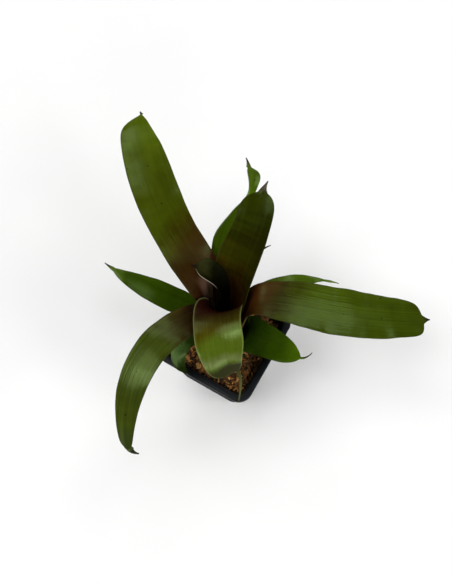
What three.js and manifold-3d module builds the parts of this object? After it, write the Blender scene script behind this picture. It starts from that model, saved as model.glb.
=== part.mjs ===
// Young bromeliad in a 7 cm square nursery pot: a water-holding rosette of twelve strap leaves.
//
// Units are millimetres and +Z is up. The origin is the middle of the pot's underside, and the pot's
// sides face X and Y. Every leaf wraps the plant's axis as part of a funnel, then bends away over the rim.

import * as THREE from 'three';
import { mergeVertices } from 'three/addons/utils/BufferGeometryUtils.js';
import Module from 'manifold-3d';

const wasm = await Module();
wasm.setup();
const { Manifold, Mesh: SolidMesh } = wasm;

// Pot
const POT_HEIGHT = 62;
const POT_TOP_HALF = 35;
const POT_BASE_HALF = 24;
const POT_WALL = 1.2;
const POT_FLOOR = 1.6;
const RIM_DEPTH = 6.2;
const CORNER_STEPS = 6;
const DRAIN_RADIUS = 3;
const DRAIN_OFFSET = 13;

// Growing medium
const SOIL_TOP = 54;
const FIT_GAP = 0.3;
const CHIP_COUNT = 130;
const CHIP_SEED = 41;
const CHIP_KEEP_OUT = 15.6;

// Plant axis
const PLANT_CENTRE = new THREE.Vector2(0, 1.5);
const LEAN_PER_MM = new THREE.Vector2(-0.069, 0.12);
const STUB_RADIUS = 5;
const STUB_BOTTOM = 38;
const CROWN_HEIGHT = 6;
const CROWN_FOOT = 55;
const LAYERS = 9;
const INNER_RADIUS = 3.4;
const LAYER_PITCH = 1.2;

// Leaf build
const LEAF_THICKNESS = 0.7;
const SHEATH_HALF_ANGLE = THREE.MathUtils.degToRad(75);
const ROW_SPACING = 5.2;
const COLUMNS = 8;

// Leaves from the innermost to the outermost. Lengths are in mm and angles in degrees.
//   layer            place in the funnel, counted outward; small leaves on different sides share one
//   length, wrap     whole length, and the stretch of it that wraps the funnel
//   flare            how far the funnel leans outward
//   heading, climb   compass direction and slope above level, at even stations from funnel to tip
//   width, roll      full width and twist at even stations
//   channel          half-angle of the arc across the blade
//   blunt            how late and how suddenly the end rounds off
//   tipSide          side of the blade that keeps its line at the end, from -1 (right) to 1 (left)
//   awl, lift, veer  length of the thin end, and how far it turns up and sideways
//   neckHalf         half width of the thin end where it begins, and tipHalf where it stops
const LEAVES = [
  {
    name: 'leaf_01_rolled_centre', colour: 0x2a3510, layer: 0, length: 77, wrap: 44, flare: 3,
    heading: [164, 196, 203, 205], climb: [82, 67, 47, 24], width: [16.5, 16, 19, 24],
    channel: 62, blunt: 5, awl: 3,
  },
  {
    name: 'leaf_02_upright_back', colour: 0x2f3807, layer: 1, length: 110, wrap: 48,
    heading: [95, 86, 101, 116], climb: [60, 48, 40, 31], width: [26, 26.5, 22.5, 23],
    channel: 25, blunt: 12, awl: 7, veer: -40, neckHalf: 2.7, tipSide: -0.15,
  },
  {
    name: 'leaf_03_front_lip', colour: 0x4d5a1e, layer: 2, length: 112, wrap: 44, flare: 6.5,
    heading: [280, 295, 307, 311, 337, 353], climb: [62, 27, -9, -44, -74, -98],
    width: [29, 29, 28, 28, 23.5, 23.5], roll: [13, 10, 5, 2, -2, -5],
    channel: 18, blunt: 11, awl: 13.5, lift: 58, veer: -68, neckHalf: 1.2, tipSide: 0.72,
  },
  {
    name: 'leaf_04_long_back_left', colour: 0x37400a, layer: 3, length: 165, wrap: 44,
    heading: [171, 153, 139, 144], climb: [37, 23, 11, -5], width: [28, 27, 27.5, 18.5],
    roll: [0, 1, 5, 8], channel: 12, blunt: 22, awl: 2.5, neckHalf: 1.1, tipSide: -0.9,
  },
  {
    name: 'leaf_05_long_right', colour: 0x3c4510, layer: 4, length: 159, wrap: 40,
    heading: [27, 20, 30, 37], climb: [5, -5, -11, -13], width: [18, 29.5, 30, 21.5],
    channel: 12, blunt: 55, awl: 4.5, neckHalf: 2.8,
  },
  {
    name: 'leaf_06_arching_front_left', colour: 0x3a4412, layer: 5, length: 155, wrap: 38,
    heading: [245, 258, 283, 314], climb: [40, 10, -30, -44], width: [17, 20, 17, 6.5],
    channel: 14, blunt: 50, awl: 9, lift: 20, veer: 80, neckHalf: 2.3, tipSide: 0.5,
  },
  {
    name: 'leaf_07_pinched_back', colour: 0x3a4a0c, layer: 6, length: 117.5, wrap: 34,
    heading: [115, 105, 97, 94, 106, 144], climb: [61, 52, 44, 34, 19, 4], width: [18, 23.5, 27, 16, 5, 20],
    channel: 20, fold: 30, blunt: 9, awl: 7.5, neckHalf: 1.7, tipSide: 0.45,
  },
  {
    name: 'leaf_08_pointed_left', colour: 0x33450a, layer: 7, length: 96, wrap: 22,
    heading: [203, 195, 187, 172], climb: [29, 21, 12, 3], width: [14, 17, 15.5, 10],
    channel: 16, blunt: 5, awl: 6, neckHalf: 1.2, tipHalf: 0.4,
  },
  {
    name: 'leaf_09_narrow_back_right', colour: 0x3b4d10, layer: 7, length: 87, wrap: 18,
    heading: [60, 50, 36, 18], climb: [29, 18, 5, -11], width: [11, 15, 10.5, 3.5],
    channel: 19, blunt: 5, awl: 6, neckHalf: 0.9, tipHalf: 0.35,
  },
  {
    name: 'leaf_10_broad_front_right', colour: 0x253a08, layer: 8, length: 63, wrap: 10,
    heading: [2, 0, 5, 11], climb: [20, 8, -2, -8], width: [28.5, 23.5, 20.5, 17.5],
    channel: 12, blunt: 6, awl: 8.5, lift: 25, veer: 64, neckHalf: 0.8, tipHalf: 0.35,
  },
  {
    name: 'leaf_11_short_back', colour: 0x33420c, layer: 8, length: 64, wrap: 12,
    heading: [105, 99, 77, 47], climb: [28, 20, 14, 8], width: [13.5, 14.5, 10, 4.5],
    channel: 18, blunt: 5, awl: 6, neckHalf: 0.9, tipHalf: 0.35,
  },
  {
    name: 'leaf_12_small_front', colour: 0x2b3d26, layer: 8, length: 53, wrap: 8,
    heading: [235, 240, 293, 374], climb: [18, 8, -2, -13], width: [8.5, 10.5, 12.5, 13.5],
    roll: [9, 10, 11, 11], channel: 7, blunt: 4, awl: 3,
  },
];
const LEAF_DEFAULTS = {
  flare: 10, turn: 16, roll: [0, 0], fold: 0, lift: 0, veer: 0, neckHalf: 1.5, tipHalf: 0.5, tipSide: 0,
};

const { clamp, degToRad, lerp } = THREE.MathUtils;

function material(name, colour, roughness) {
  return new THREE.MeshStandardMaterial({ name, color: colour, roughness, metalness: 0 });
}

// Smooth step from 0 to 1.
function ease(x) {
  const t = clamp(x, 0, 1);
  return t * t * (3 - 2 * t);
}

// Smooth curve through evenly spaced values, read at t from 0 to 1.
function along(values, t) {
  const last = values.length - 1;
  const x = clamp(t, 0, 1) * last;
  const i = Math.min(Math.floor(x), last - 1);
  const f = x - i;
  const b = values[i];
  const c = values[i + 1];
  const a = i > 0 ? values[i - 1] : 2 * b - c;
  const d = i + 2 <= last ? values[i + 2] : 2 * c - b;
  return b + 0.5 * f * (c - a + f * (2 * a - 5 * b + 4 * c - d + f * (3 * (b - c) + d - a)));
}

function geometryFrom(points, triangles) {
  const geometry = new THREE.BufferGeometry();
  const flat = points.flatMap((p) => [p.x, p.y, p.z]);
  geometry.setAttribute('position', new THREE.Float32BufferAttribute(flat, 3));
  geometry.setIndex(triangles.flat());
  geometry.computeVertexNormals();
  return geometry;
}

function solidFrom(geometry) {
  const bare = geometry.clone();
  bare.deleteAttribute('normal');
  bare.deleteAttribute('uv');
  const merged = mergeVertices(bare, 1e-4);
  return new Manifold(new SolidMesh({
    numProp: 3,
    vertProperties: new Float32Array(merged.attributes.position.array),
    triVerts: new Uint32Array(merged.index.array),
  }));
}

function geometryOf(solid) {
  const mesh = solid.getMesh();
  const geometry = new THREE.BufferGeometry();
  geometry.setAttribute('position', new THREE.Float32BufferAttribute(mesh.vertProperties, 3));
  geometry.setIndex(Array.from(mesh.triVerts));
  geometry.computeVertexNormals();
  return geometry;
}

// Closed skin over a stack of rings with the same number of points, with a flat cap at each end.
function loft(rings) {
  const points = rings.flat();
  const count = rings[0].length;
  const triangles = [];
  for (let k = 0; k + 1 < rings.length; k += 1) {
    for (let i = 0; i < count; i += 1) {
      const j = (i + 1) % count;
      const a = k * count + i;
      const b = k * count + j;
      triangles.push([a, b, b + count], [a, b + count, a + count]);
    }
  }
  const ends = [[0, true], [rings.length - 1, false]];
  for (const [k, first] of ends) {
    const centre = points.length;
    points.push(new THREE.Vector3(0, 0, rings[k][0].z));
    for (let i = 0; i < count; i += 1) {
      const a = k * count + i;
      const b = k * count + ((i + 1) % count);
      triangles.push(first ? [centre, b, a] : [centre, a, b]);
    }
  }
  return geometryFrom(points, triangles);
}

// Square ring with rounded corners, counter-clockwise from above.
function squareRing(half, corner, z) {
  const ring = [];
  for (let quarter = 0; quarter < 4; quarter += 1) {
    const turn = (quarter * Math.PI) / 2;
    const middle = new THREE.Vector2(half - corner, half - corner).rotateAround(new THREE.Vector2(), turn);
    for (let step = 0; step <= CORNER_STEPS; step += 1) {
      const angle = turn + (step / CORNER_STEPS) * (Math.PI / 2);
      ring.push(new THREE.Vector3(
        middle.x + corner * Math.cos(angle),
        middle.y + corner * Math.sin(angle),
        z,
      ));
    }
  }
  return ring;
}

// Half the pot's outside width at a height on its tapered body, under the rim.
function bodyHalf(z) {
  return lerp(POT_BASE_HALF, POT_TOP_HALF - 3.4, z / POT_HEIGHT);
}

function potGeometry() {
  const skirt = POT_HEIGHT - RIM_DEPTH;
  const shelf = POT_HEIGHT - POT_WALL;
  const inside = (z) => bodyHalf(z) - POT_WALL;
  const shell = solidFrom(loft([
    squareRing(POT_BASE_HALF - 0.8, 5.2, 0),
    squareRing(bodyHalf(1), 6, 1),
    squareRing(bodyHalf(shelf), 7.6, shelf),
    squareRing(POT_TOP_HALF - 1.6, 8.2, shelf),
    squareRing(POT_TOP_HALF - 1.8, 8.2, skirt),
    squareRing(POT_TOP_HALF - 0.6, 8.8, skirt),
    squareRing(POT_TOP_HALF, 9, POT_HEIGHT - 1),
    squareRing(POT_TOP_HALF - 0.8, 8.4, POT_HEIGHT),
    squareRing(inside(POT_HEIGHT) + 0.9, 7, POT_HEIGHT),
    squareRing(inside(POT_HEIGHT), 6.4, POT_HEIGHT - 0.9),
    squareRing(inside(POT_FLOOR + 1), 5, POT_FLOOR + 1),
    squareRing(inside(POT_FLOOR) - 0.8, 4.4, POT_FLOOR),
  ]));
  const hole = Manifold.cylinder(POT_FLOOR + 4, DRAIN_RADIUS, DRAIN_RADIUS, 16);
  let pot = shell;
  for (const x of [-DRAIN_OFFSET, DRAIN_OFFSET]) {
    for (const y of [-DRAIN_OFFSET, DRAIN_OFFSET]) {
      pot = Manifold.difference(pot, hole.translate([x, y, -2]));
    }
  }
  return geometryOf(pot);
}

// Small repeatable random source.
function randomFrom(seed) {
  let state = seed;
  return () => {
    state = (state + 0x6d2b79f5) | 0;
    let t = Math.imul(state ^ (state >>> 15), 1 | state);
    t = (t + Math.imul(t ^ (t >>> 7), 61 | t)) ^ t;
    return ((t ^ (t >>> 14)) >>> 0) / 4294967296;
  };
}

// One split bark chip: a lopsided block, longer than it is wide.
function chipGeometry(random) {
  const size = new THREE.Vector3(3.6 + 3 * random(), 2.4 + 1.6 * random(), 2.2 + 1.4 * random());
  const box = new THREE.BoxGeometry(1, 1, 1);
  box.deleteAttribute('normal');
  box.deleteAttribute('uv');
  const chip = mergeVertices(box);
  const place = chip.attributes.position;
  for (let i = 0; i < place.count; i += 1) {
    place.setXYZ(
      i,
      place.getX(i) * size.x * (0.72 + 0.5 * random()),
      place.getY(i) * size.y * (0.72 + 0.5 * random()),
      place.getZ(i) * size.z * (0.8 + 0.4 * random()),
    );
  }
  chip.rotateX((random() - 0.5) * 0.9);
  chip.rotateY((random() - 0.5) * 0.7);
  chip.rotateZ(random() * Math.PI * 2);
  return chip;
}

function growingMediumGeometry() {
  const inset = POT_WALL + FIT_GAP;
  const foot = POT_FLOOR + FIT_GAP;
  const block = solidFrom(loft([
    squareRing(bodyHalf(foot) - inset - 1, 4.2, foot),
    squareRing(bodyHalf(foot + 1.2) - inset, 4.8, foot + 1.2),
    squareRing(bodyHalf(SOIL_TOP) - inset, 6.2, SOIL_TOP),
  ]));
  const random = randomFrom(CHIP_SEED);
  const reach = bodyHalf(SOIL_TOP) - inset - 0.4;
  const chips = [];
  while (chips.length < CHIP_COUNT) {
    const x = (random() * 2 - 1) * reach;
    const y = (random() * 2 - 1) * reach;
    const chip = chipGeometry(random);
    chip.translate(x, y, SOIL_TOP + 0.1 + 0.9 * random());
    chip.computeBoundingBox();
    const { min, max } = chip.boundingBox;
    const inPot = Math.max(-min.x, -min.y, max.x, max.y) < reach && cornerClear(min, max, reach);
    const clear = Math.hypot(x - PLANT_CENTRE.x, y - PLANT_CENTRE.y) > CHIP_KEEP_OUT + 1.4;
    if (inPot && clear) {
      chips.push(solidFrom(chip));
    }
  }
  const bed = Manifold.union([block, ...chips]);
  const socket = Manifold.cylinder(SOIL_TOP, STUB_RADIUS + FIT_GAP, STUB_RADIUS + FIT_GAP, 32)
    .translate([PLANT_CENTRE.x, PLANT_CENTRE.y, STUB_BOTTOM - FIT_GAP]);
  const crown = Manifold.cylinder(20, CHIP_KEEP_OUT - 1, CHIP_KEEP_OUT - 1, 48)
    .translate([PLANT_CENTRE.x, PLANT_CENTRE.y, SOIL_TOP]);
  return geometryOf(outerSkin(bed.subtract(socket).subtract(crown)));
}

// Drops loose scraps and fills pockets that the fused pieces close off: the largest skin is kept.
function outerSkin(solid) {
  return solid.decompose().reduce((a, b) => (b.volume() > a.volume() ? b : a));
}

// Whether a box stays inside the pot's rounded corners.
function cornerClear(min, max, reach) {
  const x = Math.max(-min.x, max.x);
  const y = Math.max(-min.y, max.y);
  return Math.hypot(Math.max(x - (reach - 6.5), 0), Math.max(y - (reach - 6.5), 0)) < 6.2;
}

// Leans the plant over as it rises from the growing medium.
function lean(point) {
  const rise = Math.max(point.z - SOIL_TOP, 0);
  point.x += PLANT_CENTRE.x + LEAN_PER_MM.x * rise;
  point.y += PLANT_CENTRE.y + LEAN_PER_MM.y * rise;
  return point;
}

// Height of the crown's cone at a distance from the plant's axis.
function crownHeight(radius) {
  return CROWN_FOOT + CROWN_HEIGHT * (1 - (radius - INNER_RADIUS) / (LAYERS * LAYER_PITCH));
}

function stemGeometry() {
  const rim = INNER_RADIUS + (LAYERS - 0.5) * LAYER_PITCH;
  const profile = [
    [0, STUB_BOTTOM],
    [STUB_RADIUS - 1.6, STUB_BOTTOM],
    [STUB_RADIUS, STUB_BOTTOM + 3],
    [STUB_RADIUS, SOIL_TOP + FIT_GAP],
    [rim, SOIL_TOP + FIT_GAP],
    [rim, crownHeight(rim)],
    [INNER_RADIUS - 0.9, crownHeight(INNER_RADIUS - 0.9)],
    [INNER_RADIUS - 2, crownHeight(INNER_RADIUS - 0.9) + 0.7],
    [0, crownHeight(INNER_RADIUS - 0.9) + 0.9],
  ].map(([radius, z]) => new THREE.Vector2(radius, z));
  const lathe = new THREE.LatheGeometry(profile, 32).rotateX(Math.PI / 2);
  lathe.deleteAttribute('normal');
  lathe.deleteAttribute('uv');
  const stem = mergeVertices(lathe, 1e-4);
  const place = stem.attributes.position;
  for (let i = 0; i < place.count; i += 1) {
    const p = lean(new THREE.Vector3().fromBufferAttribute(place, i));
    place.setXYZ(i, p.x, p.y, p.z);
  }
  stem.computeVertexNormals();
  return stem;
}

// Distances along the leaf at which it is measured: few in the straight funnel, more near the blunt end.
function leafStations(leaf) {
  const neck = leaf.length - leaf.awl;
  const rows = Math.ceil((neck - leaf.wrap) / ROW_SPACING);
  const stations = [0, leaf.wrap / 2];
  for (let k = 0; k <= rows; k += 1) {
    stations.push(lerp(leaf.wrap, neck, 1 - (1 - k / rows) ** 1.25));
  }
  for (let k = 1; k <= 3; k += 1) {
    stations.push(lerp(neck, leaf.length, k / 3));
  }
  return stations;
}

// Middle surface of a leaf: rows of points from base to tip, each from the leaf's right margin to its left.
function leafSurface(leaf) {
  const neck = leaf.length - leaf.awl;
  const free = (s) => clamp((s - leaf.wrap) / (leaf.length - leaf.wrap), 0, 1);
  const inAwl = (s) => clamp((s - neck) / leaf.awl, 0, 1);
  const leave = (s) => ease((s - leaf.wrap) / leaf.turn);
  const climb = (s) => degToRad(
    lerp(90 - leaf.flare, along(leaf.climb, free(s)), leave(s)) + leaf.lift * inAwl(s),
  );
  const heading = (s) => degToRad(along(leaf.heading, free(s)) + leaf.veer * Math.sqrt(inAwl(s)));

  const radius = INNER_RADIUS + leaf.layer * LAYER_PITCH;
  const start = heading(0);
  const spine = new THREE.Vector3(
    radius * Math.cos(start),
    radius * Math.sin(start),
    crownHeight(radius) + 0.45,
  );
  const rows = [];
  let reached = 0;
  for (const s of leafStations(leaf)) {
    const steps = 8;
    const step = (s - reached) / steps;
    for (let k = 0; k < steps; k += 1) {
      const m = reached + (k + 0.5) * step;
      spine.x += step * Math.cos(climb(m)) * Math.cos(heading(m));
      spine.y += step * Math.cos(climb(m)) * Math.sin(heading(m));
      spine.z += step * Math.sin(climb(m));
    }
    reached = s;
    rows.push(leafRow(leaf, spine, s, {
      out: Math.hypot(spine.x, spine.y),
      climb: climb(s),
      heading: heading(s),
      leave: leave(s),
      free: free(s),
      blade: clamp((s - leaf.wrap) / (neck - leaf.wrap), 0, 1),
      awl: inAwl(s),
      pastNeck: s > neck,
    }));
  }
  return rows;
}

// One row across a leaf: an arc about the plant's axis in the funnel, a shallow channel in the blade.
function leafRow(leaf, spine, s, at) {
  const roll = degToRad(along(leaf.roll, at.free)) * at.leave;
  const tilt = lerp(Math.PI / 2, at.climb, at.leave);
  const side = new THREE.Vector3(-Math.sin(at.heading), Math.cos(at.heading), 0);
  const up = new THREE.Vector3(
    -Math.sin(tilt) * Math.cos(at.heading),
    -Math.sin(tilt) * Math.sin(at.heading),
    Math.cos(tilt),
  );
  const across = side.clone().multiplyScalar(Math.cos(roll)).addScaledVector(up, Math.sin(roll));
  const inward = up.clone().multiplyScalar(Math.cos(roll)).addScaledVector(side, -Math.sin(roll));

  const fullHalf = along(leaf.width, at.blade) / 2;
  const share = (1 - at.blade ** leaf.blunt) ** 0.7;
  const awlHalf = lerp(leaf.tipHalf, leaf.neckHalf, (1 - at.awl) ** 1.5);
  const bladeHalf = at.pastNeck ? awlHalf : Math.max(fullHalf * share, leaf.neckHalf);
  const shift = leaf.tipSide * fullHalf * (1 - share) * at.leave;
  const sheathHalf = Math.min(SHEATH_HALF_ANGLE * at.out, leaf.width[0] * 0.54);
  const half = lerp(sheathHalf, bladeHalf, at.leave);
  const channel = degToRad(leaf.channel + leaf.fold * at.blade ** 3);
  const bend = lerp(1 / Math.min(at.out, 60), channel / Math.max(fullHalf, 4), at.leave);

  const row = [];
  for (let j = 0; j <= COLUMNS; j += 1) {
    const angle = bend * (shift + half * ((2 * j) / COLUMNS - 1));
    const point = spine.clone()
      .addScaledVector(across, Math.sin(angle) / bend)
      .addScaledVector(inward, (1 - Math.cos(angle)) / bend);
    row.push(lean(point));
  }
  return row;
}

// Thickens a grid of points to both sides. Both faces are split along the same diagonals.
function slabGeometry(rows, thickness) {
  const high = rows.length - 1;
  const wide = rows[0].length - 1;
  const top = [];
  const under = [];
  for (let i = 0; i <= high; i += 1) {
    for (let j = 0; j <= wide; j += 1) {
      const lengthwise = rows[Math.min(i + 1, high)][j].clone().sub(rows[Math.max(i - 1, 0)][j]);
      const crosswise = rows[i][Math.min(j + 1, wide)].clone().sub(rows[i][Math.max(j - 1, 0)]);
      const normal = lengthwise.cross(crosswise).normalize();
      top.push(rows[i][j].clone().addScaledVector(normal, thickness / 2));
      under.push(rows[i][j].clone().addScaledVector(normal, -thickness / 2));
    }
  }
  const shift = top.length;
  const at = (i, j) => i * (wide + 1) + j;
  const triangles = [];
  const quad = (a, b, c, d) => triangles.push([a, b, c], [a, c, d]);
  for (let i = 0; i < high; i += 1) {
    for (let j = 0; j < wide; j += 1) {
      const [a, b, c, d] = [at(i, j), at(i + 1, j), at(i + 1, j + 1), at(i, j + 1)];
      triangles.push([a, b, c], [a, c, d]);
      triangles.push([shift + a, shift + c, shift + b], [shift + a, shift + d, shift + c]);
    }
    quad(at(i + 1, 0), at(i, 0), shift + at(i, 0), shift + at(i + 1, 0));
    quad(at(i, wide), at(i + 1, wide), shift + at(i + 1, wide), shift + at(i, wide));
  }
  for (let j = 0; j < wide; j += 1) {
    quad(at(0, j), at(0, j + 1), shift + at(0, j + 1), shift + at(0, j));
    quad(at(high, j + 1), at(high, j), shift + at(high, j), shift + at(high, j + 1));
  }
  return geometryFrom([...top, ...under], triangles);
}

const plant = new THREE.Group();
plant.name = 'potted_bromeliad';

function addPart(name, geometry, surface) {
  const mesh = new THREE.Mesh(geometry, surface);
  mesh.name = name;
  plant.add(mesh);
}

addPart('pot', potGeometry(), material('pot_plastic', 0x181c1f, 0.45));
addPart('growing_medium', growingMediumGeometry(), material('bark_chips', 0x4d3b23, 0.95));
addPart('stem', stemGeometry(), material('stem_tissue', 0x4a3b1e, 0.8));
for (const entry of LEAVES) {
  const leaf = { ...LEAF_DEFAULTS, ...entry };
  const geometry = slabGeometry(leafSurface(leaf), LEAF_THICKNESS);
  addPart(leaf.name, geometry, material(`${leaf.name}_tissue`, leaf.colour, 0.35));
}

export default plant;
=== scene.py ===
"""Young bromeliad in a square nursery pot: fine leaf blades, bark chips, pot finish, light and camera.

The classes hold their sizes in millimetres and the meshes go to Blender in metres, in the frame of the
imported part: +Z is up and the origin is the middle of the pot's underside.
"""

from __future__ import annotations

import logging
import math
from collections.abc import Iterable, Sequence
from dataclasses import dataclass, field
from enum import Enum
from typing import Any

import bpy
import numpy as np
from mathutils import Matrix


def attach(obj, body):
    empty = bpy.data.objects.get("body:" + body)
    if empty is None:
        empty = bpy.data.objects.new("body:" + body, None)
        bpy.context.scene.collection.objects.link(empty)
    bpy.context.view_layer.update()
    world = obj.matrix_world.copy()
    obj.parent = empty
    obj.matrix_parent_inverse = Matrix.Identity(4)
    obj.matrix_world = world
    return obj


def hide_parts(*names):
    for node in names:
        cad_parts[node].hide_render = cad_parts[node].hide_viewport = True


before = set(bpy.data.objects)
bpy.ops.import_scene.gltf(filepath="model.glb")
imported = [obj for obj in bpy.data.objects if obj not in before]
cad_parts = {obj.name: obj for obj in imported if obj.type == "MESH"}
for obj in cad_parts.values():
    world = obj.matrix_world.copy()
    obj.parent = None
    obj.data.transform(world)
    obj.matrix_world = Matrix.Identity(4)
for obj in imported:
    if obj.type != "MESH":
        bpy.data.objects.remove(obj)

LOG = logging.getLogger("bromeliad")
MM = 0.001
IMAGE_HEIGHT = 584

# A Mix node has several inputs of the same name, so its two colours go by number.
UNDER = 6
OVER = 7

Colour = tuple[float, float, float, float]
Faces = list[tuple[int, ...]]
Profile = tuple[tuple[float, float, float], ...]
Node = bpy.types.Node
Socket = bpy.types.NodeSocket
Tree = bpy.types.NodeTree


# Helpers for colours, curves, meshes and nodes


def linear(code: str) -> Colour:
    """Turn an sRGB hex colour into linear RGBA.

    Args:
        code: Colour as "#rrggbb".

    Returns:
        Linear red, green, blue and an alpha of 1.
    """
    shares = [int(code[i : i + 2], 16) / 255 for i in (1, 3, 5)]
    red, green, blue = (c / 12.92 if c <= 0.04045 else ((c + 0.055) / 1.055) ** 2.4 for c in shares)
    return red, green, blue, 1.0


def grey(value: float) -> Colour:
    """Return an even linear grey as RGBA."""
    return value, value, value, 1.0


def ease(x: np.ndarray) -> np.ndarray:
    """Smooth step from 0 to 1."""
    t = np.clip(x, 0.0, 1.0)
    return t * t * (3 - 2 * t)


def along(values: Sequence[float], t: np.ndarray) -> np.ndarray:
    """Read a smooth curve through evenly spaced values.

    Args:
        values: Values at even stations.
        t: Places to read, from 0 to 1.

    Returns:
        The curve's value at each place.
    """
    knots = np.asarray(values, float)
    last = len(knots) - 1
    x = np.clip(t, 0.0, 1.0) * last
    i = np.minimum(x.astype(int), last - 1)
    f = x - i
    padded = np.concatenate([[2 * knots[0] - knots[1]], knots, [2 * knots[-1] - knots[-2]]])
    a, b, c, d = padded[i], padded[i + 1], padded[i + 2], padded[i + 3]
    return b + 0.5 * f * (c - a + f * (2 * a - 5 * b + 4 * c - d + f * (3 * (b - c) + d - a)))


def build_object(
    name: str,
    points: np.ndarray,
    faces: Iterable[Sequence[int]],
    crease: float = 50.0,
    attributes: dict[str, np.ndarray] | None = None,
) -> bpy.types.Object:
    """Make a mesh object with smooth shading.

    Args:
        name: Name of the object and its mesh.
        points: Vertex places in millimetres, one row each.
        faces: Vertex numbers of each face.
        crease: Edges sharper than this many degrees stay sharp.
        attributes: Values at each vertex, by name: one column for a number, three for a vector.

    Returns:
        The new object, linked to the scene.
    """
    mesh = bpy.data.meshes.new(name)
    mesh.from_pydata((np.asarray(points) * MM).tolist(), [], [list(face) for face in faces])
    mesh.validate()
    for key, values in (attributes or {}).items():
        flat = np.asarray(values, np.float32)
        kind, slot = ("FLOAT", "value") if flat.ndim == 1 else ("FLOAT_VECTOR", "vector")
        mesh.attributes.new(key, kind, "POINT").data.foreach_set(slot, flat.ravel())
    mesh.polygons.foreach_set("use_smooth", [True] * len(mesh.polygons))
    mesh.set_sharp_from_angle(angle=math.radians(crease))
    piece = bpy.data.objects.new(name, mesh)
    bpy.context.scene.collection.objects.link(piece)
    return piece


def settle(piece: bpy.types.Object, material: bpy.types.Material, node: str) -> None:
    """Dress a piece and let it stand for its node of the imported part.

    Args:
        piece: The finished object.
        material: Its material.
        node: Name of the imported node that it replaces.
    """
    piece.data.materials.append(material)
    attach(piece, "root")
    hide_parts(node)


def new_material(name: str) -> tuple[bpy.types.Material, Tree]:
    """Make a material with an empty node tree.

    Args:
        name: Name of the material.

    Returns:
        The material and its node tree.
    """
    material = bpy.data.materials.new(name)
    material.use_nodes = True
    material.node_tree.nodes.clear()
    return material, material.node_tree


def add(
    tree: Tree,
    kind: str,
    inputs: dict[str | int, Any] | None = None,
    stops: Sequence[tuple[float, Colour]] = (),
    **settings: Any,
) -> Node:
    """Add a shader node with its settings, values and links.

    Args:
        tree: Node tree of the material.
        kind: Blender's name for the node type, without "ShaderNode" before it.
        inputs: Socket name or number, with a plain value, with the output socket to link, or with the
            node whose first output in use is linked.
        stops: Stops of a colour ramp in rising order: places from 0 to 1 with their linear colours.
        **settings: Properties of the node itself.

    Returns:
        The new node.
    """
    made = tree.nodes.new("ShaderNode" + kind)
    for key, value in settings.items():
        setattr(made, key, value)
    for key, value in (inputs or {}).items():
        if isinstance(value, Node):
            value = next(output for output in value.outputs if output.enabled)
        if isinstance(value, Socket):
            tree.links.new(value, made.inputs[key])
        else:
            made.inputs[key].default_value = value
    if stops:
        elements = made.color_ramp.elements
        while len(elements) < len(stops):
            elements.new(0.5)
        for element, (place, colour) in zip(elements, stops):
            element.position = place
            element.color = colour
    return made


# Finishes


@dataclass(frozen=True)
class NoiseSize:
    """Size of a noise on a leaf.

    Attributes:
        across: Width of a spot of it across the leaf, in millimetres.
        along: Length of a spot of it along the leaf, in millimetres.
        shift: Shift of the leaf's seed, so that no two of its noises match.
        octaves: Octaves of finer noise.
    """

    across: float
    along: float
    shift: float
    octaves: float


class LeafNoise(Enum):
    """Noises on a leaf."""

    # Real veins lie about 0.5 mm apart, which is finer than a pixel: here they are 1 mm apart.
    VEINS = NoiseSize(across=1.0, along=71.43, shift=0, octaves=2.0)
    # Hair-fine furrows lie between the veins. They only break up the gloss.
    FURROWS = NoiseSize(across=0.4167, along=20.0, shift=7, octaves=1.0)
    # Ridges 3 mm apart run the leaf's length and comb the gloss into streaks.
    RIDGES = NoiseSize(across=3.125, along=83.33, shift=5, octaves=2.0)
    # Age and dried water leave broad patches, about 2 cm wide.
    PATCHES = NoiseSize(across=16.667, along=25.0, shift=3, octaves=3.0)
    # Pauses in growth leave faint bands across the leaf, 6 mm apart.
    BANDS = NoiseSize(across=83.33, along=6.25, shift=11, octaves=2.0)


@dataclass(frozen=True)
class LeafPattern:
    """Coordinates and noises that the parts of one leaf's material read.

    Attributes:
        tree: Node tree of the material.
        place: Place on the leaf in millimetres, across and along.
        across: Place across the leaf, from -1 to 1.
        from_middle: Distance from the midrib, from 0 to 1 at the margin.
        reach: Share of the leaf's length, from 0 to 1.
        upper: 1 on the upper face and 0 on the back.
        noises: The noises, around 0.5.
    """

    tree: Tree
    place: Socket
    across: Socket
    from_middle: Node
    reach: Socket
    upper: Socket
    noises: dict[LeafNoise, Node]

    @classmethod
    def lay_out(cls, tree: Tree, seed: float) -> LeafPattern:
        """Add the coordinates and noises of one leaf.

        Args:
            tree: Node tree of the material.
            seed: Shifts the noises, so that no two leaves match.

        Returns:
            The leaf's pattern.
        """
        place = add(tree, "Attribute", attribute_name="blade_mm").outputs["Vector"]
        share = add(tree, "Attribute", attribute_name="blade_share").outputs["Vector"]
        across, reach, upper = add(tree, "SeparateXYZ", {"Vector": share}).outputs
        noises = {}
        for noise in LeafNoise:
            size = noise.value
            start = seed + size.shift
            corner = (start, start * 0.37, start)
            cycles = (1 / size.across, 1 / size.along, 1.0)
            moved = add(tree, "Mapping", {"Vector": place, "Location": corner, "Scale": cycles})
            noises[noise] = add(
                tree, "TexNoise", {"Vector": moved, "Scale": 1.0, "Detail": size.octaves, "Roughness": 0.55}
            )
        from_middle = add(tree, "Math", {0: across}, operation="ABSOLUTE")
        return cls(tree, place, across, from_middle, reach, upper, noises)


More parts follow.
